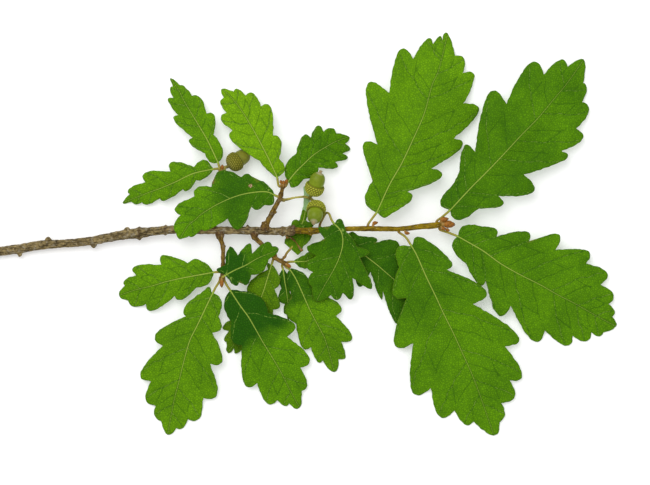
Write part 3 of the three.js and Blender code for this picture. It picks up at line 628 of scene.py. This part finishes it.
def stalk_tube(plan, rib):
    """The stalk, and the midrib it becomes: each point's place is below 0 on the stalk."""
    petiole = plan["petiole"].copy()
    petiole[:, 2] -= PETIOLE_RADIUS
    start = anchor(petiole[0], stem_surface(), STALK_DEPTH)
    lead = curved(np.vstack([start, petiole]), STALK_STEP)[:-1]
    blade = rib.copy()
    share = np.linspace(0, 1, len(blade))
    radii = PETIOLE_RADIUS * (1 - share) ** 0.7 * 0.8 + 0.1
    blade[:, 2] -= radii + LEAF_THICKNESS * np.clip(share / 0.15, 0, 1)
    swollen = PETIOLE_RADIUS * (1 + 0.45 * np.exp(-np.arange(len(lead)) / 2.2))
    within = slice(2, -2)
    line = np.vstack([lead, blade[within]])
    points, faces = tube(line, np.concatenate([swollen, radii[within]]), STALK_SIDES)
    places = np.concatenate([np.linspace(-1, 0, len(lead)), share[within]])
    return lifted(points, CLEARANCE), faces, np.repeat(places, STALK_SIDES)


# ---- Stems

STEM_VOXEL = 0.28
STEM_ROUNDS = 7  # of smoothing
STEM_SWELL = 0.2  # thickness of the bark over the CAD stem
GRAIN_PRESS = 0.82  # the grain is shortened by this share, which draws the wrinkles out
WRINKLE_HEIGHT = 0.11
LUMP_HEIGHT = 0.26
FORK_LUMPS = 0.4  # added to that height at a fork
FORK_REACH = 2.5  # how far from a fork its knobbly bark reaches
SCAR_RINGS = (-1.4, -3.1, -7.0, -70.0, -84.0)  # from the newest growth ring
SCAR_HEIGHT = 0.85
SCAR_WIDTH = 0.75


def remeshed(name, points, faces):
    """Closed shapes that overlap, as one even and rounded mesh."""
    source = placed(f"{name}_source", mesh_of(f"{name}_source", points, faces))
    remesh = source.modifiers.new("remesh", "REMESH")
    remesh.mode = "VOXEL"
    remesh.voxel_size = STEM_VOXEL * MM
    smooth = source.modifiers.new("smooth", "SMOOTH")
    smooth.factor = 0.5
    smooth.iterations = STEM_ROUNDS
    graph = bpy.context.evaluated_depsgraph_get()
    fine = bpy.data.meshes.new_from_object(source.evaluated_get(graph))
    bpy.data.objects.remove(source)
    return fine


def rounded_stem(name):
    """A stem's CAD solid and its flared foot as one mesh. The main branch has no such foot."""
    points, triangles = node_mesh(name)
    shape = points, triangles.tolist()
    if name != "main_branch":
        shape = added(shape, flared_foot(name, points))
    return remeshed(name, *shape)


def near_fork(name, points):
    """From 1 where another stem begins to 0 far from any."""
    others = stem_surface(name)
    gaps = np.array([others.find_nearest(Vector(point))[3] for point in points])
    return np.exp(-gaps / FORK_REACH)


def stem_look(name, material, roughness):
    """A stem over its CAD node: rounded, lumpy, and wrinkled lengthwise."""
    mesh = rounded_stem(name)
    points = np.array([vertex.co for vertex in mesh.vertices]) / MM
    normals = np.array([vertex.normal for vertex in mesh.vertices])
    centre, axis = main_axis(points)
    along = (points - centre) @ axis
    grain = points + np.outer(along * -GRAIN_PRESS, axis)
    wrinkles = value_noise(grain, 0.55, 3) + 0.6 * value_noise(grain, 0.3, 4)
    lumps = value_noise(points, 3.5, 5) + 0.7 * value_noise(points, 1.6, 6)
    fork = near_fork(name, points)
    rough = WRINKLE_HEIGHT * wrinkles + (LUMP_HEIGHT + FORK_LUMPS * fork) * lumps
    relief = STEM_SWELL + roughness * rough
    if name == "main_branch":
        scars = ring_scars(points[:, 0] - RING[0])
        relief += SCAR_HEIGHT * scars * (0.7 + 0.5 * lumps)
        fork = np.maximum(fork, 0.7 * scars)
    moved = lifted(points + normals * relief[:, None])
    mesh.vertices.foreach_set("co", (moved * MM).ravel())
    mesh.update()
    add_attribute(mesh, "grain", grain)
    add_attribute(mesh, "wrinkle", wrinkles + 0.5 * lumps)
    add_attribute(mesh, "fork", fork)
    adopt(name, mesh, material)


def ring_scars(along):
    """Share of full height of the raised rings that each year's end bud leaves round old wood."""
    return sum(np.exp(-((along - ring) / SCAR_WIDTH) ** 2) for ring in SCAR_RINGS)


# ---- Buds, cups and nuts

BUD_SIDES = 20
BUD_STATIONS = 16
BUD_CORE = 0.92  # radius of the body under the scales, as a share of the bud's
BUD_SEAT = 0.6  # how far a bud's stub runs into its stem
BUD_START = 0.22  # share of its arched outline that a bud lacks at the foot
BUD_ROWS = ((-0.02, 0.42), (0.12, 0.62), (0.3, 0.8), (0.5, 0.97))  # each row's low and high edge
SCALES_PER_ROW = 5
SCALE_GRID = 7  # points along and across a bud scale
SCALE_THICKNESS = 0.1  # as a share of the bud's radius
SCALE_HALF = 0.72  # half the angle that a scale spans, in radians
SEAT_RADIUS = 0.75  # of the neck that joins a cup to its stalk
SEAT_DEPTH = 0.5  # how far the neck runs into the stalk
NECK_SIDES = 16
CUP_SIDES = 156
CUP_ROWS = 9
CUP_SCALES = 21
SCALE_HEIGHT = 0.5
SCALE_SINK = 0.16  # of the joints between them, below the CAD cup
NUT_SIDES = 72
NUT_FILL = 1.04  # share of its CAD radius to which a nut swells, to fill its cup


def turned_frame(axis):
    """Two unit vectors square to an axis and to each other."""
    axis = axis / norm(axis)
    side = np.cross(axis, [0, 0, 1.0])
    if norm(side) < 0.1:
        side = np.cross(axis, [0, 1.0, 0])
    side = side / norm(side)
    return axis, side, np.cross(axis, side)


def revolved(foot, axis, profile, sides, relief=lambda angle, share, radius: 0.0):
    """A surface turned about an axis from (radius, height) pairs, and each point's relief."""
    axis, side, up = turned_frame(axis)
    points = []
    lifts = []
    for j, (radius, height) in enumerate(profile):
        for k in range(sides):
            angle = 2 * math.pi * k / sides
            lift = relief(angle, j / (len(profile) - 1), radius)
            out = math.cos(angle) * side + math.sin(angle) * up
            points.append(foot + height * axis + (radius + lift) * out)
            lifts.append(lift)
    return np.array(points), ring_faces(len(profile), sides), np.array(lifts)


def widest(points, foot, axis):
    """The largest distance of any point from an axis through foot."""
    offsets = points - foot
    return norm(offsets - np.outer(offsets @ axis, axis), axis=1).max()


def bud_axis(name):
    """Foot, axis, length and largest radius of a bud, from its CAD node."""
    points, _ = node_mesh(name)
    centre = points.mean(axis=0)
    apex = points[np.argmax(norm(points - centre, axis=1))]
    axis = (apex - centre) / norm(apex - centre)
    length = -((points - apex) @ axis).min()
    foot = apex - length * axis
    return foot, axis, length, widest(points, foot, axis)


def bud_radius(t):
    """A bud's radius at height t, as a share of its largest radius."""
    if t >= 1:
        return 0.02
    return math.sin(math.pi * min(1, BUD_START + (1 - BUD_START) * t)) ** 0.8


def bud_scale(foot, frame_axes, length, radius, row, angle):
    """One scale of a bud: a small curved plate whose free edge stands a little off the bud."""
    axis, side, up = frame_axes
    low, high = BUD_ROWS[row]
    layers = ([], [])
    for v in np.linspace(0, 1, SCALE_GRID):
        half = SCALE_HALF * math.sqrt(max(0.0, 1 - v ** 2.6)) + 0.02
        t = low + (high - low) * v
        for u in np.linspace(-1, 1, SCALE_GRID):
            out = math.cos(angle + half * u) * side + math.sin(angle + half * u) * up
            lift = 0.05 + 0.16 * v * (1 - u * u)
            for layer, height in zip(layers, (lift, lift - SCALE_THICKNESS)):
                layer.append(foot + t * length * axis + radius * (bud_radius(t) + height) * out)
    faces = []
    for j in range(SCALE_GRID - 1):
        for a in range(j * SCALE_GRID, (j + 1) * SCALE_GRID - 1):
            faces.append((a, a + 1, a + 1 + SCALE_GRID, a + SCALE_GRID))
    return closed_sheet(*layers, faces)


def bud_look(name, material):
    """A bud: a plain body on a stub that enters the stem, under rows of separate scales."""
    foot, axis, length, radius = bud_axis(name)
    axes = turned_frame(axis)
    stations = np.linspace(0, 1, BUD_STATIONS)
    profile = [(BUD_CORE * radius * bud_radius(t), t * length) for t in stations]
    body = revolved(foot, axis, profile, BUD_SIDES)[:2]
    seat = anchor(foot, stem_surface(), BUD_SEAT)
    ends = [seat, foot + 0.15 * length * axis]
    shape = added(body, tube(ends, [0.8 * radius, 0.7 * radius], BUD_SIDES))
    tips = [0.0] * len(shape[0])
    for row in range(len(BUD_ROWS)):
        for k in range(SCALES_PER_ROW):
            angle = 2 * math.pi * (k + 0.5 * (row % 2)) / SCALES_PER_ROW
            shape = added(shape, bud_scale(foot, axes, length, radius, row, angle))
            tips += np.tile(np.linspace(0, 1, SCALE_GRID).repeat(SCALE_GRID), 2).tolist()
    points, faces = shape
    new_piece(name, lifted(points), faces, material, {"tip": tips})


def acorn_axis(number):
    """The foot of an acorn's cup, its axis towards the nut, and the sizes of both."""
    cup, _ = node_mesh(f"acorn_cup_{number}")
    nut, _ = node_mesh(f"acorn_nut_{number}")
    axis = nut.mean(axis=0) - cup.mean(axis=0)
    axis = axis / norm(axis)
    reach = (cup - cup.mean(axis=0)) @ axis
    foot = cup[np.argmin(reach)]
    return {
        "foot": foot,
        "axis": axis,
        "cup_depth": reach.max() - reach.min(),
        "cup_radius": widest(cup, foot, axis),
        "nut_low": ((nut - foot) @ axis).min(),
        "nut_high": ((nut - foot) @ axis).max(),
        "nut_radius": widest(nut, foot, axis),
    }


def cup_relief(angle, height):
    """Small overlapping scales in offset rows, which shrink towards the rim at height 1."""
    row = height * CUP_ROWS
    lane = CUP_SCALES * angle / (2 * math.pi) + 0.5 * (int(row) % 2)
    u = 2 * (lane % 1) - 1
    v = row % 1
    dome = max(0.0, 1 - u * u) * math.sin(math.pi * min(1, 0.25 + v)) ** 0.7
    return SCALE_HEIGHT * dome * (1 - 0.4 * height) - SCALE_SINK


def cup_neck(acorn):
    """The short neck that joins a cup to its stalk."""
    seat = anchor(acorn["foot"], stem_surface(), SEAT_DEPTH)
    inner_end = acorn["foot"] + 0.12 * acorn["cup_depth"] * acorn["axis"]
    line = curved([seat, 0.5 * (seat + inner_end), inner_end], 0.3)
    return tube(line, np.linspace(SEAT_RADIUS, 1.6 * SEAT_RADIUS, len(line)), NECK_SIDES)


def cup_look(number, material):
    """A hollow cup with scales outside and a plain wall inside, on its neck."""
    acorn = acorn_axis(number)
    radius, depth = acorn["cup_radius"], acorn["cup_depth"]
    outside = [(0.05, 0), (0.34, 0.02), (0.6, 0.1), (0.82, 0.26), (0.95, 0.46), (1, 0.7),
               (0.975, 0.88), (0.94, 0.97)]
    inside_wall = [(0.88, 1), (0.81, 0.97), (0.83, 0.7), (0.62, 0.36), (0.05, 0.28)]
    outer = curved([(radius * r, depth * h, 0) for r, h in outside], 0.16)
    inner = curved([(radius * r, depth * h, 0) for r, h in inside_wall], 0.5)
    profile = np.vstack([outer, inner])[:, :2]
    outer_share = len(outer) / len(profile)

    def relief(angle, share, _):
        return cup_relief(angle, share / outer_share) if share < outer_share else 0.0

    *cup, lifts = revolved(acorn["foot"], acorn["axis"], profile, CUP_SIDES, relief)
    points, faces = added(cup, cup_neck(acorn))
    neck = np.zeros(len(points) - len(lifts))
    shares = np.linspace(0, 1, len(profile)).repeat(CUP_SIDES)
    height = np.clip(np.concatenate([shares, neck]) / outer_share, 0, 1)
    raised = np.concatenate([lifts, neck])
    attributes = {"raised": raised, "height": height, "kind": np.full(len(points), number)}
    new_piece(f"acorn_cup_{number}", lifted(points), faces, material, attributes)


def nut_look(number, material):
    """A nut with faint lengthwise ribs and the worn crown at its tip."""
    acorn = acorn_axis(number)
    low, high, radius = acorn["nut_low"], acorn["nut_high"], NUT_FILL * acorn["nut_radius"]
    shape = [(0.02, 0), (0.45, 0.02), (0.8, 0.12), (0.97, 0.32), (1, 0.48), (0.95, 0.64),
             (0.78, 0.77), (0.5, 0.855), (0.3, 0.885), (0.2, 0.9), (0.17, 0.93), (0.2, 0.955),
             (0.24, 0.985), (0.14, 1), (0.02, 0.99)]
    profile = curved([(radius * r, low + (high - low) * h, 0) for r, h in shape], 0.22)[:, :2]

    def relief(angle, share, local_radius):
        return 0.03 * math.sin(7 * angle + 5 * share) * min(1, local_radius)

    points, faces, _ = revolved(acorn["foot"], acorn["axis"], profile, NUT_SIDES, relief)
    height = (profile[:, 1].repeat(NUT_SIDES) - low) / (high - low)
    attributes = {"height": height, "kind": np.full(len(points), number)}
    new_piece(f"acorn_nut_{number}", points, faces, material, attributes)


# ---- Materials


class Recipe:
    """A node material, written as colours laid one over another."""

    def __init__(self, name, roughness, specular):
        self.material = bpy.data.materials.new(name)
        self.material.use_nodes = True
        self.tree = self.material.node_tree
        self.shader = self.tree.nodes["Principled BSDF"]
        self.base = None
        self.set("Roughness", roughness)
        self.set("Specular IOR Level", specular)

    def put(self, socket, value):
        """Sets a socket: from another socket by a link, or from a plain value."""
        if isinstance(value, bpy.types.NodeSocket):
            self.tree.links.new(value, socket)
        else:
            socket.default_value = value

    def set(self, name, value):
        """Sets an input of the shader itself."""
        self.put(self.shader.inputs[name], value)

    def node(self, kind, inputs, **settings):
        """A new node with its settings, and its inputs by name or number."""
        node = self.tree.nodes.new(kind)
        for key, value in settings.items():
            setattr(node, key, value)
        for key, value in inputs.items():
            self.put(node.inputs[key], value)
        return node

    def attribute(self, name, output="Fac"):
        """What add_attribute gave the points of the mesh."""
        return self.node("ShaderNodeAttribute", {}, attribute_name=name).outputs[output]

    def place(self):
        """Position in the branch's own frame, in millimetres."""
        inputs = {0: self.node("ShaderNodeTexCoord", {}).outputs["Object"], "Scale": 1 / MM}
        return self.node("ShaderNodeVectorMath", inputs, operation="SCALE").outputs[0]

    def maths(self, operation, a, b):
        return self.node("ShaderNodeMath", {0: a, 1: b}, operation=operation).outputs[0]

    def noise(self, vector, scale, detail=3, roughness=0.55):
        inputs = {"Vector": vector, "Scale": scale, "Detail": detail, "Roughness": roughness}
        return self.node("ShaderNodeTexNoise", inputs).outputs["Fac"]

    def cells(self, vector, scale, feature="DISTANCE_TO_EDGE"):
        inputs = {"Vector": vector, "Scale": scale}
        return self.node("ShaderNodeTexVoronoi", inputs, feature=feature).outputs["Distance"]

    def between(self, value, low, high, start=0.0, end=1.0):
        """value from low to high becomes start to end, and stays there outside."""
        inputs = {"Value": value, "From Min": low, "From Max": high, "To Min": start, "To Max": end}
        node = self.node("ShaderNodeMapRange", inputs, interpolation_type="SMOOTHSTEP")
        return node.outputs["Result"]

    def mix(self, factor, a, b, blend="MIX"):
        """From colour a where factor is 0 to colour b where it is 1."""
        node = self.node("ShaderNodeMix", {"Factor": factor}, data_type="RGBA", blend_type=blend)
        colours = [socket for socket in node.inputs if socket.type == "RGBA"]
        for socket, colour in zip(colours, (a, b)):
            self.put(socket, colour if isinstance(colour, bpy.types.NodeSocket) else (*colour, 1))
        return next(socket for socket in node.outputs if socket.type == "RGBA")

    def lay(self, colour, value, low, high, start=0.0, end=1.0, blend="MIX"):
        """Lays a colour over those before it, from start strong at low to end at high."""
        self.base = self.mix(self.between(value, low, high, start, end), self.base, colour, blend)

    def bump(self, height, strength, distance):
        inputs = {"Strength": strength, "Distance": distance * MM, "Height": height}
        self.set("Normal", self.node("ShaderNodeBump", inputs).outputs["Normal"])

    def done(self):
        self.set("Base Color", self.base)
        return self.material


GREENS = (0.014, 0.077, 0.001), (0.136, 0.335, 0.002)  # of the darkest and the lightest leaf
YELLOW_GREENS = (0.036, 0.085, 0.001), (0.21, 0.345, 0.006)
UNDERSIDE = (0.28, 0.45, 0.20), (0.42, 0.55, 0.28)  # between the veins and on them
STALKS = (0.25, 0.22, 0.03), (0.38, 0.34, 0.07)
STALK_FOOT = (0.20, 0.085, 0.025)
MOTTLE = (0.02, 0.075, 0.003)
CUSHION_GAIN = (1.3, 1.24, 1.12)
NET_LOSS = (0.72, 0.78, 0.7)
# painted shade in the sunken grooves of the weak veins and of the side veins
WEAK_GROOVE_SHADE = (0.018, 0.075, 0.003)
GROOVE_SHADE = (0.018, 0.085, 0.002)
THREAD = (0.30, 0.44, 0.07)
BESIDE_RIB = (0.02, 0.08, 0.003)
RIB = (0.36, 0.47, 0.07)
RIM = (0.16, 0.17, 0.02)
SPOT = (0.10, 0.06, 0.015)
DEAD = (0.15, 0.09, 0.02)
BLEACHED = (0.56, 0.38, 0.26)


def leaf_tissue(r, place, mottle, fine_veins, cushions):
    """Green, lighter and darker in broad patches of painted shade for the blade's form, and cushions
    of tissue in a net of the finest veins.
    """
    # painted shade: broad patches lighter and darker, for the shading of the blade's bends
    shade_patches = r.between(r.noise(place, 0.06), 0.3, 0.7, -0.12, 0.12)
    tone = r.maths("ADD", r.attribute("tone"), shade_patches)
    r.base = r.mix(r.attribute("yellow"), r.mix(tone, *GREENS), r.mix(tone, *YELLOW_GREENS))
    r.lay(MOTTLE, mottle, 0.35, 0.7, 0.28, 0)
    r.base = r.mix(cushions, r.base, CUSHION_GAIN, "MULTIPLY")
    r.lay(NET_LOSS, fine_veins, 0.0, 0.08, 1, 0, "MULTIPLY")


def leaf_lines(r, place, vein, along):
    """Side veins and weak veins as grooves darkened by painted shade, a broken pale thread, the pale
    midrib, and a drier rim.
    """
    r.lay(WEAK_GROOVE_SHADE, r.attribute("weak_vein"), 0.08, 0.45, 0.5, 0)
    r.lay(GROOVE_SHADE, vein, 0.12, 0.6, 0.6, 0)
    dashes = r.between(r.noise(place, 0.9, 2), 0.44, 0.56)
    thread = r.maths("MULTIPLY", r.between(vein, 0.07, 0.24, 0.6, 0), dashes)
    r.base = r.mix(thread, r.base, THREAD)
    rib = r.attribute("rib")
    r.lay(BESIDE_RIB, rib, 0.25, 0.9, 0.5, 0)
    rib_width = r.between(along, 0.0, 0.9, 0.3, 0.1)
    r.lay(RIB, r.maths("SUBTRACT", rib, rib_width), -0.08, 0.1, 0.75, 0)
    r.lay(RIM, r.attribute("edge"), 0.0, 0.4, 0.4, 0)


def leaf_faults(r, place, vein):
    """Small spots, the pale underside where a leaf turns over, and ragged dry blemishes."""
    r.lay(SPOT, r.noise(place, 1.3, 2), 0.74, 0.8, 0, 0.7)
    under = r.mix(r.between(vein, 0.1, 0.5, 0.8, 0), *UNDERSIDE)
    r.lay(under, r.attribute("underside"), 0.4, 0.6)
    ragged = r.between(r.noise(place, 1.1), 0.3, 0.7, -0.35, 0.35)
    injury = r.maths("ADD", r.attribute("injury"), ragged)
    r.lay(DEAD, injury, 0.1, 0.45, 0, 0.8)
    r.lay(BLEACHED, injury, 0.45, 0.75, 0, 0.9)


def leaf_material():
    """The blade's colours, and the stalk's where a point lies below the blade."""
    r = Recipe("oak_leaf", 0.5, 0.05)
    place = r.place()
    vein = r.attribute("vein")
    along = r.attribute("along")
    mottle = r.noise(place, 0.5, 4, 0.65)
    fine_veins = r.cells(place, 0.85)
    cushions = r.between(fine_veins, 0.02, 0.28)
    leaf_tissue(r, place, mottle, fine_veins, cushions)
    leaf_lines(r, place, vein, along)
    leaf_faults(r, place, vein)
    stalk = r.mix(r.noise(place, 0.8), *STALKS)
    stalk = r.mix(r.between(along, -1.0, -0.55, 0.75, 0), stalk, STALK_FOOT)
    r.lay(stalk, along, -0.06, -0.01, 1, 0)
    r.set("Roughness", r.between(mottle, 0.2, 0.8, 0.42, 0.62))
    height = r.maths("ADD", cushions, r.maths("MULTIPLY", r.noise(place, 3.0, 2), 0.5))
    r.bump(height, 0.8, 0.22)
    return r.done()


BLOTCH = (0.05, 0.032, 0.012)
LICHEN = (0.27, 0.235, 0.165)
FORK_BARK = (0.085, 0.045, 0.022)
CRACK = (0.03, 0.022, 0.014)
LENTICEL = (0.36, 0.27, 0.12)


def bark_material(name, dark, light, age):
    """Bark: streaks along the stem, pale lenticels, and blotches, lichen and cracks with age."""
    r = Recipe(name, 0.75, 0.08)
    place = r.place()
    streaks = r.noise(r.attribute("grain", "Vector"), 1.4, 5, 0.65)
    r.base = r.mix(r.between(streaks, 0.38, 0.62), dark, light)
    r.lay(tuple(1.5 * part for part in light), r.noise(place, 0.16), 0.42, 0.7, 0, 0.5)
    r.lay(BLOTCH, r.noise(place, 0.75), 0.38, 0.52, 0.3 + 0.35 * age, 0)
    r.lay(LICHEN, r.noise(place, 0.45, 4, 0.65), 0.53, 0.64, 0, 0.7 * age * age)
    r.lay(FORK_BARK, r.attribute("fork"), 0.25, 0.9, 0, 0.65)
    r.lay(CRACK, r.attribute("wrinkle"), -1.1, -0.2, 0.85 * age, 0)
    lenticels = r.between(r.cells(place, 0.55, "F1"), 0.1, 0.2, 0.8, 0)
    r.base = r.mix(lenticels, r.base, LENTICEL)
    r.set("Roughness", r.between(streaks, 0.3, 0.7, 0.6, 0.85))
    r.bump(r.maths("ADD", streaks, r.maths("MULTIPLY", lenticels, 0.6)), 0.6, 0.25)
    return r.done()


BUDS = (0.17, 0.055, 0.006), (0.42, 0.175, 0.022)
SCALE_TIP = (0.09, 0.035, 0.014)
SCALE_FOOT = (0.34, 0.25, 0.08)


def bud_material():
    """Brown scales, darker at their tips and paler at their feet."""
    r = Recipe("bud_scales", 0.45, 0.15)
    place = r.place()
    tip = r.attribute("tip")
    r.base = r.mix(r.noise(place, 1.2), *BUDS)
    r.lay(SCALE_TIP, tip, 0.55, 1.0, 0, 0.8)
    r.lay(SCALE_FOOT, tip, 0.02, 0.25, 0.5, 0)
    r.bump(r.noise(place, 6), 0.3, 0.1)
    return r.done()


# The first acorn is dull, and the other two are fresh.
DULL_CUP = (0.15, 0.14, 0.010), (0.30, 0.275, 0.022)
FRESH_CUP = (0.31, 0.34, 0.02), (0.50, 0.53, 0.05)
CUP_JOINTS = (0.07, 0.075, 0.009)
CUP_TIPS = (0.46, 0.44, 0.18)
CUP_FOOT = (0.12, 0.09, 0.03)
DULL_NUT = (0.11, 0.12, 0.008), (0.19, 0.19, 0.014)
FRESH_NUT = (0.17, 0.24, 0.006), (0.13, 0.185, 0.006)  # from its foot to its tip
NUT_BLOOM = (0.28, 0.33, 0.03)
CROWN_RING = (0.34, 0.32, 0.17)
CROWN = (0.31, 0.24, 0.12)


def cup_material():
    """Green cups with dark joints between pale-tipped scales."""
    r = Recipe("acorn_cup_scales", 0.7, 0.08)
    place = r.place()
    raised = r.attribute("raised")
    tone = r.noise(place, 0.4)
    fresh = r.between(r.attribute("kind"), 1, 2)
    r.base = r.mix(fresh, r.mix(tone, *DULL_CUP), r.mix(tone, *FRESH_CUP))
    r.lay(CUP_JOINTS, raised, -0.1, 0.15, 0.8, 0)
    r.lay(CUP_TIPS, raised, 0.14, 0.28, 0, 0.6)
    r.lay(CUP_FOOT, r.attribute("height"), 0.0, 0.22, 0.6, 0)
    r.bump(r.noise(place, 3, 4), 0.5, 0.2)
    return r.done()


def nut_material():
    """Smooth green nuts with a dry crown."""
    r = Recipe("acorn_nut_skin", 0.36, 0.18)
    place = r.place()
    height = r.attribute("height")
    dull = r.mix(r.noise(place, 0.35), *DULL_NUT)
    fresh = r.mix(r.between(height, 0.3, 0.8), *FRESH_NUT)
    r.base = r.mix(r.between(r.attribute("kind"), 1, 2), dull, fresh)
    r.lay(NUT_BLOOM, r.noise(place, 0.5), 0.4, 0.7, 0, 0.25)
    r.lay(CROWN_RING, height, 0.84, 0.885, 0, 0.9)
    r.lay(CROWN, height, 0.89, 0.91, 0, 0.95)
    r.bump(r.noise(place, 1.5), 0.12, 0.2)
    return r.done()


# ---- The branch

# Each leaf's tone at its foot and at its tip, from 0 dark to 1 light: partly the leaf's own colour
# and partly painted shade, where a blade bends away from the light or lies under another leaf; where
# along the blade the one gives way to the other; and how yellow the leaf is, from 0 to 1.
LEAF_TONES_AND_SHADE = {
    "shoot_leaf_1": (0.2, 0.25, 0.5, 0),
    "shoot_leaf_2": (0.1, 0.2, 0.5, 0),
    "shoot_leaf_3": (0.6, 0.7, 0.4, 0.1),
    "shoot_leaf_4": (0.42, 0.62, 0.35, 0),
    "shoot_leaf_5": (0.38, 0.48, 0.5, 0),
    "shoot_leaf_6": (0.5, 0.58, 0.4, 0),
    "upper_twig_leaf_1": (0.25, 0.62, 0.55, 0),
    "upper_twig_leaf_2": (0.85, 1, 0.3, 0.3),
    "upper_twig_leaf_3": (0.5, 0.42, 0.5, 0),
    "upper_left_twig_leaf_1": (0.62, 0.72, 0.5, 0.1),
    "upper_left_twig_leaf_2": (0.68, 0.62, 0.5, 0.1),
    "lower_left_twig_leaf_1": (0, 0.35, 0.4, 0),
    "lower_left_twig_leaf_2": (0.66, 0.72, 0.5, 0.1),
    "lower_left_twig_leaf_3": (0.66, 0.72, 0.5, 0.1),
    "lower_left_twig_leaf_4": (0, 0.66, 0.42, 0),
    "lower_right_twig_leaf_1": (0.5, 0.45, 0.5, 0.5),
    "lower_right_twig_leaf_2": (0.15, 0.3, 0.5, 0.1),
    "lower_right_twig_leaf_3": (0.1, 0.62, 0.3, 0.1),
    "lower_right_twig_leaf_4": (0.3, 0.4, 0.5, 0.2),
    "lower_right_twig_leaf_5": (0.4, 0.4, 0.5, 0.3),
}


ACORNS = (1, 2, 3)


def build_branch():
    """Every piece of the branch, over its own node."""
    leaf = leaf_material()
    for name, tone in LEAF_TONES_AND_SHADE.items():
        leaf_look(name, leaf, tone)
    barks = {kind: bark_material(*recipe) for kind, (*recipe, _) in BARKS.items()}
    for name, kind in SLOTS.items():
        if kind in BARKS:
            stem_look(name, barks[kind], roughness=BARKS[kind][-1])
    buds = bud_material()
    for name, kind in SLOTS.items():
        if kind == "bud_scale":
            bud_look(name, buds)
    cup = cup_material()
    nut = nut_material()
    for number in ACORNS:
        cup_look(number, cup)
        nut_look(number, nut)


# ---- Floor, light and camera

FLOOR_HALF = 3000
FLOOR_LEVEL = -0.3
FLOOR_GLOW = 0.26  # whitens the floor and softens the shadows on it
VIEW_WIDTH = 351
VIEW_CENTRE = (15.7, -6.2)  # from the growth ring
LENS = 100
SENSOR = 36

def floor():
    """A pale sheet just under the branch, which isn't part of it."""
    half = FLOOR_HALF
    corners = [(-half, -half, 0), (half, -half, 0), (half, half, 0), (-half, half, 0)]
    mesh = mesh_of("floor", corners, [(0, 1, 2, 3)])
    paper = Recipe("pale_floor", 0.9, 0.0)
    paper.set("Base Color", (0.8, 0.8, 0.8, 1))
    paper.set("Emission Color", (1, 1, 1, 1))
    paper.set("Emission Strength", FLOOR_GLOW)
    mesh.materials.append(paper.material)
    plane = placed("floor", mesh)
    plane.location.z = FLOOR_LEVEL * MM


def soft_light(name, place, size, power):
    """A round lamp that points at the middle of the branch, placed in metres."""
    lamp = bpy.data.lights.new(name, "AREA")
    lamp.shape = "DISK"
    lamp.size = size
    lamp.energy = power
    body = placed(name, lamp)
    body.location = place
    body.rotation_euler = (-Vector(place)).to_track_quat("-Z", "Y").to_euler()


def surroundings(strength):
    """Even white light from all sides."""
    world = bpy.data.worlds.new("studio")
    world.use_nodes = True
    background = world.node_tree.nodes["Background"]
    background.inputs["Color"].default_value = (1, 1, 1, 1)
    background.inputs["Strength"].default_value = strength
    bpy.context.scene.world = world


def camera():
    """A long lens straight above the branch."""
    data = bpy.data.cameras.new("camera")
    data.lens = LENS
    data.sensor_width = SENSOR
    distance = LENS * VIEW_WIDTH / SENSOR
    view = placed("camera", data)
    view.location = (*((RING + VIEW_CENTRE) * MM), distance * MM)
    bpy.context.scene.camera = view


build_branch()
floor()
soft_light("key", place=(-0.3, 0.45, 0.9), size=0.9, power=7)
soft_light("fill", place=(0.6, -0.3, 0.9), size=0.9, power=1.5)
surroundings(strength=0.66)
camera()
bpy.context.scene.view_settings.view_transform = "Standard"
